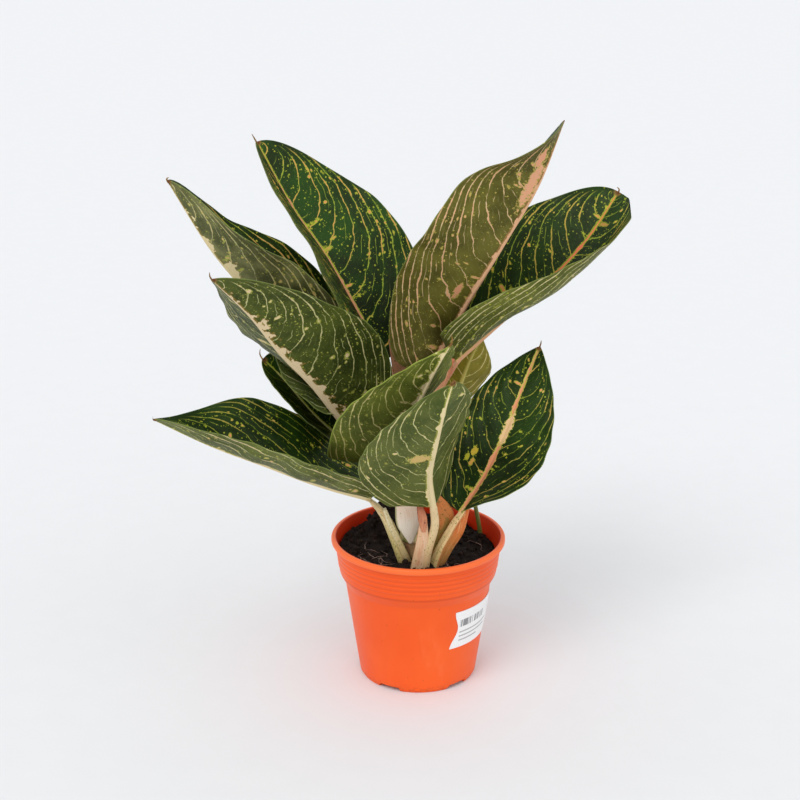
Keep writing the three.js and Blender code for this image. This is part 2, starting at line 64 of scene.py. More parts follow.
def srgb(red, green, blue):
    """A shader's colour from a screen's, whose channels run to 255."""
    channels = [c / 255 for c in (red, green, blue)]
    return (*[c / 12.92 if c <= 0.04045 else ((c + 0.055) / 1.055) ** 2.4 for c in channels], 1)


def lerp(a, b, t):
    return a + (b - a) * t


def smooth(x, low, high):
    t = np.clip((x - low) / (high - low), 0, 1)
    return t * t * (3 - 2 * t)


def spline(values, t):
    """A smooth curve through evenly spaced values or points, t from 0 at the first to 1 at the last."""
    values = np.asarray(values, float)
    t = np.asarray(t, float)
    spans = len(values) - 1
    i = np.clip(np.floor(t * spans).astype(int), 0, spans - 1)
    x = t * spans - i
    padded = np.concatenate([[2 * values[0] - values[1]], values, [2 * values[-1] - values[-2]]])
    a, b, c, d = (padded[i + k] for k in range(4))
    if values.ndim == 2:
        x = x[:, None]
    return b + 0.5 * x * (c - a + x * (2 * a - 5 * b + 4 * c - d + x * (3 * (b - c) + d - a)))


def unit(v):
    return v / np.linalg.norm(v, axis=-1, keepdims=True)


def turn_by(count):
    """Angles of that many even steps round a circle."""
    return np.arange(count) * FULL_TURN / count


def round_points(radius, angle, z):
    """Points at a radius, an angle and a height, as arrays that broadcast together."""
    return np.stack(np.broadcast_arrays(radius * np.cos(angle), radius * np.sin(angle), z), -1)


def way_along(points):
    """Distance along a line of points to each of them."""
    return np.concatenate([[0], np.cumsum(np.linalg.norm(np.diff(points, axis=0), axis=1))])


def spread(column, count):
    """One value a row, repeated over that many columns."""
    return np.repeat(column[:, None], count, 1)


def axes_along(points, t, azimuth):
    """Out along a leaf, towards its right, and up from its face, at each t of one of its curves."""
    step = 1e-4
    out = unit(spline(points, t + step) - spline(points, t - step))
    a = math.radians(azimuth)
    right = np.array([math.sin(a), -math.cos(a), 0.0])
    right = unit(right - out * (out @ right)[:, None])
    return out, right, np.cross(right, out)


def bumps(points, size):
    """Smooth noise from about -1 to 1 at each point, with features of that size."""
    return np.array([noise.fractal(Vector(p) / size, 0.9, 2.0, 3) for p in points])


# ---------- meshes ----------


def mesh_piece(name, points, faces, attributes=(), materials=(), slots=None, sharp=None):
    """A piece from points in millimetres. Attributes are (name, array) pairs of one value a point."""
    points = np.clip(np.asarray(points, float) * MM, *CAD_BOX)
    faces = [list(map(int, f)) for f in faces]
    a, b, c = (points[[f[k] for f in faces]] for k in range(3))
    d = points[[f[-1] for f in faces]]
    volume = (np.cross(a, b) * c).sum() + (np.cross(a, c) * d).sum()
    if volume < 0:
        faces = [f[::-1] for f in faces]
    mesh = bpy.data.meshes.new(name)
    mesh.from_pydata(points.tolist(), [], faces)
    mesh.polygons.foreach_set("use_smooth", [True] * len(faces))
    for key, values in attributes:
        values = np.asarray(values, np.float32)
        kind = "FLOAT" if values.ndim == 1 else "FLOAT_VECTOR"
        layer = mesh.attributes.new(key, kind, "POINT")
        layer.data.foreach_set("value" if values.ndim == 1 else "vector", values.ravel())
    for material in materials:
        mesh.materials.append(material)
    if slots is not None:
        mesh.polygons.foreach_set("material_index", slots)
    if sharp:
        mesh.set_sharp_from_angle(angle=math.radians(sharp))
    mesh.update()
    piece = bpy.data.objects.new(name, mesh)
    bpy.context.scene.collection.objects.link(piece)
    return piece


def loft_faces(rows, count, closed=True):
    """Quads between rings of equal length, and fans that close both ends on two last points."""
    i, j = np.meshgrid(np.arange(rows - 1), np.arange(count), indexing="ij")
    k = (j + 1) % count
    here, above = i * count, (i + 1) * count
    faces = np.stack([here + j, here + k, above + k, above + j], -1).reshape(-1, 4).tolist()
    if closed:
        first, last = rows * count, rows * count + 1
        top = (rows - 1) * count
        for j in range(count):
            k = (j + 1) % count
            faces.append([first, k, j])
            faces.append([last, top + j, top + k])
    return faces


def loft_piece(name, rings, attributes=(), **kwargs):
    """A closed skin over rings. Attributes are arrays of one value a ring point."""
    rows, count = rings.shape[:2]
    points = np.concatenate([rings.reshape(-1, 3), [rings[0].mean(0)], [rings[-1].mean(0)]])
    full = []
    for key, values in attributes:
        flat = values.reshape(rows * count, -1)
        ends = np.array([values[0].reshape(count, -1).mean(0), values[-1].reshape(count, -1).mean(0)])
        full.append((key, np.squeeze(np.concatenate([flat, ends]))))
    return mesh_piece(name, points, loft_faces(rows, count), full, **kwargs)


def joined(parts):
    """Several (points, faces) as one."""
    points, faces, start = [], [], 0
    for p, f in parts:
        points.append(p)
        faces += [[start + k for k in face] for face in f]
        start += len(p)
    return np.concatenate(points), faces


def tube(path, radius, sides, steps, rough):
    """Points and faces of a thin round tube along a path, thinner towards its end."""
    t = np.linspace(0, 1, steps)
    middle = spline(path, t)
    out = unit(np.gradient(middle, axis=0))
    side = unit(np.cross(out, [0.31, 0.11, 0.94]))
    up = np.cross(side, out)
    angle = turn_by(sides)
    radii = radius * (1 - 0.75 * t ** 3)[:, None, None] * (1 + rough * rng.normal(size=(steps, sides, 1)))
    ring = side[:, None] * np.cos(angle)[None, :, None] + up[:, None] * np.sin(angle)[None, :, None]
    rings = middle[:, None] + ring * radii
    return np.concatenate([rings.reshape(-1, 3), middle[:1], middle[-1:]]), loft_faces(steps, sides)


def finish_piece(piece, slot, *nodes):
    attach(piece, "root")
    if nodes:
        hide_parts(*nodes)


def scatter_piece(name, parts, material, slot):
    """Many small solids in one piece."""
    points, faces = joined(parts)
    finish_piece(mesh_piece(name, points, faces, materials=[material]), slot)


# ---------- materials ----------


class Signal:
    """A value inside a material that arithmetic can be written with."""

    def __init__(self, graph, socket):
        self.graph, self.socket = graph, socket

    def __add__(self, other):
        return self.graph.math("ADD", self, other)

    def __sub__(self, other):
        return self.graph.math("SUBTRACT", self, other)

    def __mul__(self, other):
        return self.graph.math("MULTIPLY", self, other)

    def __truediv__(self, other):
        return self.graph.math("DIVIDE", self, other)

    __radd__, __rmul__ = __add__, __mul__


class Graph:
    """A material, short ways to add nodes to it, and the colour that has been painted so far."""

    def __init__(self, name):
        self.colour = None
        self.material = bpy.data.materials.new(name)
        self.material.use_nodes = True
        self.nodes, self.links = self.material.node_tree.nodes, self.material.node_tree.links
        self.nodes.clear()

    def put(self, socket, value):
        """Links a signal to a socket or sets the socket. Three numbers are a screen's colour."""
        if isinstance(value, Signal):
            self.links.new(value.socket, socket)
        else:
            socket.default_value = srgb(*value) if isinstance(value, tuple) and len(value) == 3 else value

    def add(self, kind, inputs=(), output=0, **settings):
        node = self.nodes.new("ShaderNode" + kind)
        for key, value in settings.items():
            setattr(node, key, value)
        for key, value in dict(inputs).items():
            self.put(node.inputs[key], value)
        return Signal(self, node.outputs[output])

    def math(self, operation, *values):
        return self.add("Math", dict(enumerate(values)), operation=operation)

    def vector(self, name):
        """The three parts of a vector stored on the mesh, and the vector itself."""
        whole = self.add("Attribute", output="Vector", attribute_name=name)
        return [*self.split(whole), whole]

    def split(self, vector, kind="XYZ"):
        node = self.nodes.new("ShaderNodeSeparate" + kind)
        self.put(node.inputs[0], vector)
        return [Signal(self, socket) for socket in node.outputs]

    def value(self, name):
        return self.add("Attribute", output="Fac", attribute_name=name)

    def combine(self, x, y, z):
        return self.add("CombineXYZ", {0: x, 1: y, 2: z})

    def noise(self, where, scale, detail, roughness=0.5):
        inputs = {"Vector": where, "Scale": scale, "Detail": detail, "Roughness": roughness}
        return self.add("TexNoise", inputs)

    def strands(self, x, y, z, detail, roughness=0.5):
        """Noise over a place made of three values, which may be stretched."""
        return self.noise(self.combine(x, y, z), 1.0, detail, roughness)

    def cells(self, where, scale):
        """Distance to the nearest of scattered points, and two random values for each."""
        node = self.nodes.new("ShaderNodeTexVoronoi")
        self.put(node.inputs["Vector"], where)
        self.put(node.inputs["Scale"], scale)
        chance, other, _ = self.split(Signal(self, node.outputs["Color"]), "Color")
        return Signal(self, node.outputs["Distance"]), chance, other

    def step(self, value, low, high, start=0.0, end=1.0):
        inputs = {0: value, 1: low, 2: high, 3: start, 4: end}
        return self.add("MapRange", inputs, interpolation_type="SMOOTHSTEP")

    def band(self, value, low, high):
        """1 from a low value to a high one and 0 outside, with narrow edges."""
        return self.step(value, low - 0.1, low + 0.1) * self.step(value, high + 0.1, high - 0.1)

    def base(self, share, a, b, blend="MIX"):
        """Starts the colour over as one tone mixed into another."""
        self.colour = self.add("Mix", {0: share, 6: a, 7: b}, output=2, data_type="RGBA", blend_type=blend)

    def paint(self, share, tint):
        self.base(share, self.colour, tint)

    def darken(self, share, tint):
        self.base(share, self.colour, tint, "MULTIPLY")

    def bump(self, height, distance, strength):
        inputs = {"Height": height, "Distance": distance, "Strength": strength}
        return self.add("Bump", inputs)

    def finish(self, **inputs):
        shader = self.nodes.new("ShaderNodeBsdfPrincipled")
        output = self.nodes.new("ShaderNodeOutputMaterial")
        self.put(shader.inputs["Base Color"], self.colour)
        for key, value in inputs.items():
            self.put(shader.inputs[key.replace("_", " ")], value)
        self.links.new(shader.outputs[0], output.inputs[0])
        return self.material


LEAF_SHEEN = (0.88, 1.0, 0.6, 1)
STEM_SHEEN = (1, 0.96, 0.8, 1)
POT_SHEEN = (1, 0.82, 0.66, 1)


def leaf_material(name, look, upper):
    """One side of a blade. place holds the way along the midrib, the way out from it and the leaf's own
    number. vein holds the count of side veins, how far apart they are and how far off the margin is."""
    g = Graph(name)
    s, d, own, place = g.vector("place")
    phase, apart, margin, _ = g.vector("vein")
    u = g.value("u")
    tip = g.value("tip")
    out = g.math("ABSOLUTE", d)
    side = g.math("SIGN", d)
    broad = g.noise(place, 0.035, 3.0)
    patchy = g.noise(place, 0.11, 2.0)
    fine = g.noise(place, 0.42, 3.0, 0.6)
    grain = g.noise(place, 1.6, 2.0, 0.6)
    g.base(g.step(broad + (patchy - 0.5) * 0.4, 0.34, 0.68), look["dark"], look["light"])
    g.paint(g.step(fine, 0.45, 0.8) * 0.45, look["fleck"])
    # Painted shade: each side of a blade is darkened towards its foot.
    g.darken(g.step(u + (broad - 0.5) * 0.3, 0.6, 0.1, 0.0, look["shade"]), (110, 112, 100))
    # side veins: their count wanders, and each is thick, thin or broken off along its way
    wander = (g.noise(place, 0.04, 2.0) - 0.5) * look["wobble"] + (patchy - 0.5) * 0.22 + (fine - 0.5) * 0.08
    count = phase + wander
    near = g.math("PINGPONG", count, 0.5) * apart
    number = g.math("ROUND", count)
    along = g.strands(s * 0.05, number * 7.31, own, 2.0)
    beads = g.strands(s * 0.4, number * 3.17, own, 2.0)
    widest = g.step(along, 0.3, 0.72, look["thin"], look["thick"]) * g.step(beads, 0.25, 0.75, 0.55, 1.5)
    widest = g.math("MINIMUM", apart * 0.14, widest)
    clear = g.step(apart, 1.6, 4.2) * g.step(margin + along * 6.0, 1.0, 5.0)
    strength = g.step(along + (beads - 0.5) * 0.4, 0.3, 0.5, look["faint"], 1.0)
    line = g.step(near, widest + 0.24, widest - 0.1) * clear * strength
    halo = g.step(near, widest * 2.0 + 2.4, widest) * clear
    # short lengths of finer veins half way between, and hairs finer still
    between = g.math("PINGPONG", count + 0.5, 0.5) * apart
    pieces = g.strands(s * 0.09, g.math("FLOOR", count) * 4.7, own, 1.0)
    short = g.step(between, 0.34, 0.12) * clear * g.step(pieces, 0.52, 0.6) * g.step(apart, 4.0, 8.0)
    hairs = g.math("PINGPONG", count * 4.0, 0.5) * apart * 0.25
    hair = g.step(hairs, 0.3, 0.05) * g.step(apart, 7.0, 12.0) * g.step(fine, 0.4, 0.65)
    g.paint(hair * look["hair"], look["line"])
    g.paint(halo * look["halo"], look["light"])
    # small dots, mostly by the veins
    for scale, size, share in ((0.3, 0.26, look["dots"]), (0.6, 0.3, look["dots"] * 0.8)):
        away, chance, _ = g.cells(place, scale)
        picked = g.step(chance + halo * 0.16 + (broad - 0.5) * 0.3, 1.0 - share, 1.02 - share)
        dots = g.step(away + (grain - 0.5) * 0.25, size, size * 0.5) * picked
        g.paint(dots * 0.8, look["dot"])
    g.paint(short * look["lines"] * 0.7, look["line"])
    g.paint(line * look["lines"], look["line"])
    core = g.step(near, widest * 0.7 + 0.12, widest * 0.7 - 0.12) * clear * g.step(along, 0.46, 0.56)
    g.paint(core * look["pinks"], look["pink"])
    # ragged blotches that lie along the veins, some of them with a pink heart
    for rate, most, share in ((1.3, 0.28, look["blobs"] * 0.8), (2.6, 0.32, look["blobs"] * 0.55)):
        away, chance, other = g.cells(g.combine(count * rate, s * rate * 0.1, own), 1.0)
        rag = (fine - 0.5) * 0.6 + (grain - 0.5) * 0.2
        size = g.step(other, 0.0, 1.0, 0.08, most)
        chosen = g.step(chance + halo * 0.1, 1.0 - share, 1.02 - share) * g.step(apart, 3.0, 6.0)
        chosen = chosen * g.step(margin, 1.5, 6.0)
        blob = g.step(away + rag, size + 0.1, size) * chosen
        heart = g.step(away + rag, size - 0.02, size - 0.1) * chosen * g.step(other, 0.25, 0.35)
        g.paint(blob * 0.9, look["dot"])
        g.paint(heart * 0.9, look["pink"])
    # the midrib, blotched to either side
    edge = g.strands(s * 0.085, side * 9.0, own, 3.0, 0.6)
    half = g.step(u, 0.0, 1.0, look["rib"], 0.3)
    reach = g.step(side, -0.5, 0.5, look["lobes"][1], look["lobes"][0])
    jag = (fine - 0.5) * 2.2 + (grain - 0.5) * 0.8
    island = g.noise(place, 0.1, 3.0, 0.55) + (fine - 0.5) * 0.1 + (edge - 0.5) * 0.3
    island = island - (out - half) / reach * 0.3 - g.step(u, 0.72, 1.0) * 0.15
    lobed = look["lobed"]
    fringe = g.step(out + jag, half + 1.3, half + 0.6)
    rim = g.math("MAXIMUM", fringe, g.step(island, lobed - 0.035, lobed - 0.015))
    rib = g.step(out + jag * 0.4, half + 0.2, half - 0.15)
    lobe = g.step(island, lobed, lobed + 0.02)
    g.paint(rim * look["rim"], look["burnt"] or look["dot"])
    g.paint(lobe, look["midrib"])
    g.paint(rib * g.step(edge, 0.2, 0.45, 0.7, 1.0), look["midrib"])
    for along_at, out_at, long, wide, tint in look["patches"]:
        x = (s - along_at) / long
        y = (d - out_at) / wide
        ragged = g.noise(place, 0.38, 4.0, 0.75)
        far = g.math("SQRT", x * x + y * y) + (ragged - 0.5) * 2.4
        g.paint(g.step(far, 1.08, 0.95) * 0.85, look["dot"])
        g.paint(g.step(far, 0.92, 0.8), tint)
    # thin pale margin and dried tip
    border, share = look["border"]
    g.paint(g.step(margin, border, border * 0.2) * share, look["margin"])
    dried = tip + (fine - 0.5) * 3.0
    g.paint(g.step(dried, 4.6, 2.6), (128, 104, 50))
    g.paint(g.step(dried, 3.2, 1.4), (104, 54, 28))
    relief = line * (-0.5 if upper else 0.6) + hair * (-0.15 if upper else 0.2) + fine * 0.3 + grain * 0.2
    return g.finish(
        Roughness=look["rough"], Specular_IOR_Level=look["gloss"], Specular_Tint=LEAF_SHEEN,
        Normal=g.bump(relief, 0.00022, 0.8),
    )


# The looks of a blade's two sides: its tones; how the veins wander; how thick, broken and pink they are; how
# many dots and blotches there are; how far the midrib's pale tone spreads; how much painted shade darkens it
# towards its foot. LEAVES has what a leaf changes.
FACE = dict(
    dark=(15, 33, 9), light=(30, 56, 14), fleck=(42, 72, 20), line=(158, 174, 56), pink=(232, 156, 104),
    dot=(176, 184, 52), midrib=(238, 176, 132), margin=(84, 112, 50), burnt=None, border=(0.6, 0.4),
    patches=(), wobble=0.9, thin=0.12, thick=0.46, faint=0.1, lines=0.9, pinks=0.85, hair=0.1, halo=0.4,
    dots=0.26, blobs=0.24, rib=1.5, rim=0.8, lobes=(2.0, 2.0), lobed=0.5, rough=0.42, gloss=0.26, shade=0.3,
)
UNDER = dict(
    FACE, dark=(56, 66, 22), light=(84, 94, 34), fleck=(98, 108, 48), line=(206, 204, 140), shade=0.0,
    pink=(228, 202, 156), dot=(174, 176, 78), midrib=(230, 212, 164), margin=(140, 154, 84), wobble=0.85,
    thick=0.38, faint=0.15, lines=0.85, pinks=0.5, hair=0.14, halo=0.15, dots=0.2, blobs=0.16, rib=2.3,
    rim=0.6, lobes=(2.4, 2.4), rough=0.55, gloss=0.24,
)


def stem_material(name, low, high, streak, fleck, flecks, rough=0.42, edge=None, stain=None, soiled=0.85):
    """A petiole, sheath or cane. stalk holds the way up it, the way round it and its own number."""
    g = Graph(name)
    s, round_, own, stalk = g.vector("stalk")
    t = g.value("t")
    rim = g.value("edge")
    fibres = g.strands(s * 0.05, round_ * 1.1, own, 3.0, 0.65)
    broad = g.noise(stalk, 0.12, 2.0)
    fine = g.noise(stalk, 0.9, 3.0, 0.6)
    g.base(g.step(t + (broad - 0.5) * 0.6, 0.1, 0.9), low, high)
    g.paint(g.step(fibres + (broad - 0.5) * 0.3, 0.48, 0.7) * 0.75, streak)
    if stain:
        blot = g.strands(s * 0.06, round_ * 0.2, own, 3.0, 0.6)
        g.paint(g.step(blot, 0.5, 0.62) * 0.7, stain)
    g.paint(g.step(rim + (broad - 0.5) * 0.4, 0.5, 0.9) * 0.85, edge or streak)
    for rate, size in ((0.35, 0.34), (0.7, 0.3)):
        away, chance, _ = g.cells(g.combine(s * rate, round_ * rate * 2.0, own), 1.0)
        spots = g.step(away + (fine - 0.5) * 0.2, size, size * 0.6)
        g.paint(spots * g.step(chance, 1.0 - flecks, 1.02 - flecks) * 0.75, fleck)
    # Darker and browner towards the stalk's foot.
    g.darken(g.step(t + (fine - 0.5) * 0.12, 0.2, 0.02) * soiled, (128, 100, 74))
    bump = g.bump(fibres * 0.8 + broad * 0.3, 0.0005, 0.8)
    return g.finish(Roughness=rough, Specular_IOR_Level=0.35, Specular_Tint=STEM_SHEEN, Normal=bump)


def pot_material():
    g = Graph("pot_plastic")
    inside = g.value("inside")
    where = g.add("TexCoord", output="Object")
    x, y, z = g.split(where)
    broad = g.noise(where, 14.0, 3.0)
    fine = g.noise(where, 420.0, 3.0, 0.65)
    g.base(g.step(broad, 0.3, 0.7), (242, 87, 24), (250, 99, 33))
    away, chance, _ = g.cells(where, 260.0)
    specks = g.step(away, 0.16, 0.06) * g.step(chance, 0.93, 0.95)
    g.paint(specks * 0.6, (120, 44, 20))
    dusty = g.noise(g.combine(x, y, z * 0.25), 60.0, 3.0, 0.6)
    g.paint(g.step(dusty, 0.6, 0.85) * 0.22, (255, 150, 110))
    high = z / MM
    # Painted highlight: the lip, above about 105 mm, is lightened.
    g.paint(g.step(high, 104.5, 106.5) * 0.55, (255, 126, 66))
    # Painted shade: a dark line just under the collar's ledge, and darker grooves between the collar's ribs.
    ledge_shade = g.step(high, 80.8, 82.6) * g.step(high, 83.8, 83.2)
    between = g.math("PINGPONG", (high - RIBS[0]) / RIB_PITCH, 0.5)
    groove = g.step(between, 0.22, 0.45) * g.band(high, RIBS[0] - 1.8, RIBS[-1] + 1.8)
    g.paint(ledge_shade * 0.55 + groove * 0.3, (206, 64, 20))
    # Painted shade and bounced light: the inner wall is given a darker, deeper red than the same plastic
    # outside.
    g.paint(inside * 0.8, (216, 38, 10))
    # Patchy darker, browner tone over the lowest 8 mm of the wall.
    low_darkening = g.step(high, 8.0, 0.0) * g.step(fine, 0.4, 0.65)
    g.paint(low_darkening * 0.35, (130, 60, 36))
    return g.finish(
        Roughness=g.step(dusty, 0.3, 0.8, 0.4, 0.52), Specular_IOR_Level=0.4, Specular_Tint=POT_SHEEN,
        Normal=g.bump(fine, 0.00012, 0.5),
    )


def label_material():
    """White paper with a plain block of bars and three plain grey rules, and no lettering."""
    g = Graph("label_paper")
    across, up, _, where = g.vector("paper")
    fibre = g.noise(where, 0.9, 4.0, 0.6)
    g.base(g.step(fibre, 0.35, 0.7), (238, 240, 240), (250, 250, 250))
    ragged = g.noise(g.combine(g.math("FLOOR", across * 1.6), 3.0, 1.0), 2.3, 0.0)
    marks = g.step(ragged, 0.5, 0.52) * g.band(across, 6.0, 34.0) * g.band(up, 17.5, 23.5)
    for middle, end in ((13.0, 42.0), (9.5, 38.0), (6.0, 26.0)):
        marks = marks + g.band(up, middle - 0.6, middle + 0.6) * g.band(across, 6.0, end) * 0.7
    g.paint(marks * 0.75, (60, 60, 66))
    return g.finish(Roughness=0.42, Normal=g.bump(fibre, 0.0001, 0.4))


def ground_material(name, dark, light):
    """Soil, and the dried threads and rootlets that look like it in other tones."""
    g = Graph(name)
    where = g.add("TexCoord", output="Object")
    coarse = g.noise(where, 180.0, 4.0, 0.6)
    fine = g.noise(where, 900.0, 4.0, 0.7)
    g.base(g.step(coarse + (fine - 0.5) * 0.4, 0.3, 0.75), dark, light)
    away, chance, _ = g.cells(where, 520.0)
    bits = g.step(away, 0.3, 0.15) * g.step(chance, 0.94, 0.96)
    g.paint(bits * 0.6, (122, 98, 74))
    return g.finish(Roughness=0.92, Specular_IOR_Level=0.25, Normal=g.bump(fine + coarse, 0.001, 0.9))


# ---------- leaves ----------


def half(width, ends, lobe, fold, curl, **more):
    """One half of a blade: its greatest width, how blunt its base and tip are, how far its base reaches back,
    its fold beside the midrib and its curl to the margin, as lists along it or as one value throughout."""
    fold, curl = ([v, v] if np.ndim(v) == 0 else v for v in (fold, curl))
    return dict(width=width, ends=ends, lobe=lobe, fold=fold, curl=curl, **more)


def skin(low, high, streak, fleck, flecks, **more):
    """The tones at a stem's foot and top, of its streaks and of its specks, and how many specks it has."""
    return dict(low=low, high=high, streak=streak, fleck=fleck, flecks=flecks, **more)


PINKISH = skin((226, 170, 136), (228, 176, 136), (212, 126, 98), (150, 150, 70), 0.1)
CREAMY = skin((228, 210, 160), (226, 210, 160), (204, 184, 120), (124, 142, 66), 0.3)

# What a leaf has where it gives nothing of its own: the height and start of its margin's wave; its flutter,
# which is finer; its side veins; how far out its sheath lies on the cane; the length and bend of its dried
# end; and its petiole's half widths and half depths.
HABIT = dict(
    wave=(1, 0), flutter=0.7, spacing=1.0, slant=0.6, sweep=0.4, clasp=None, thread=None,
    widths=[6, 4], depths=[2.6, 2.4], face={}, under={},
)
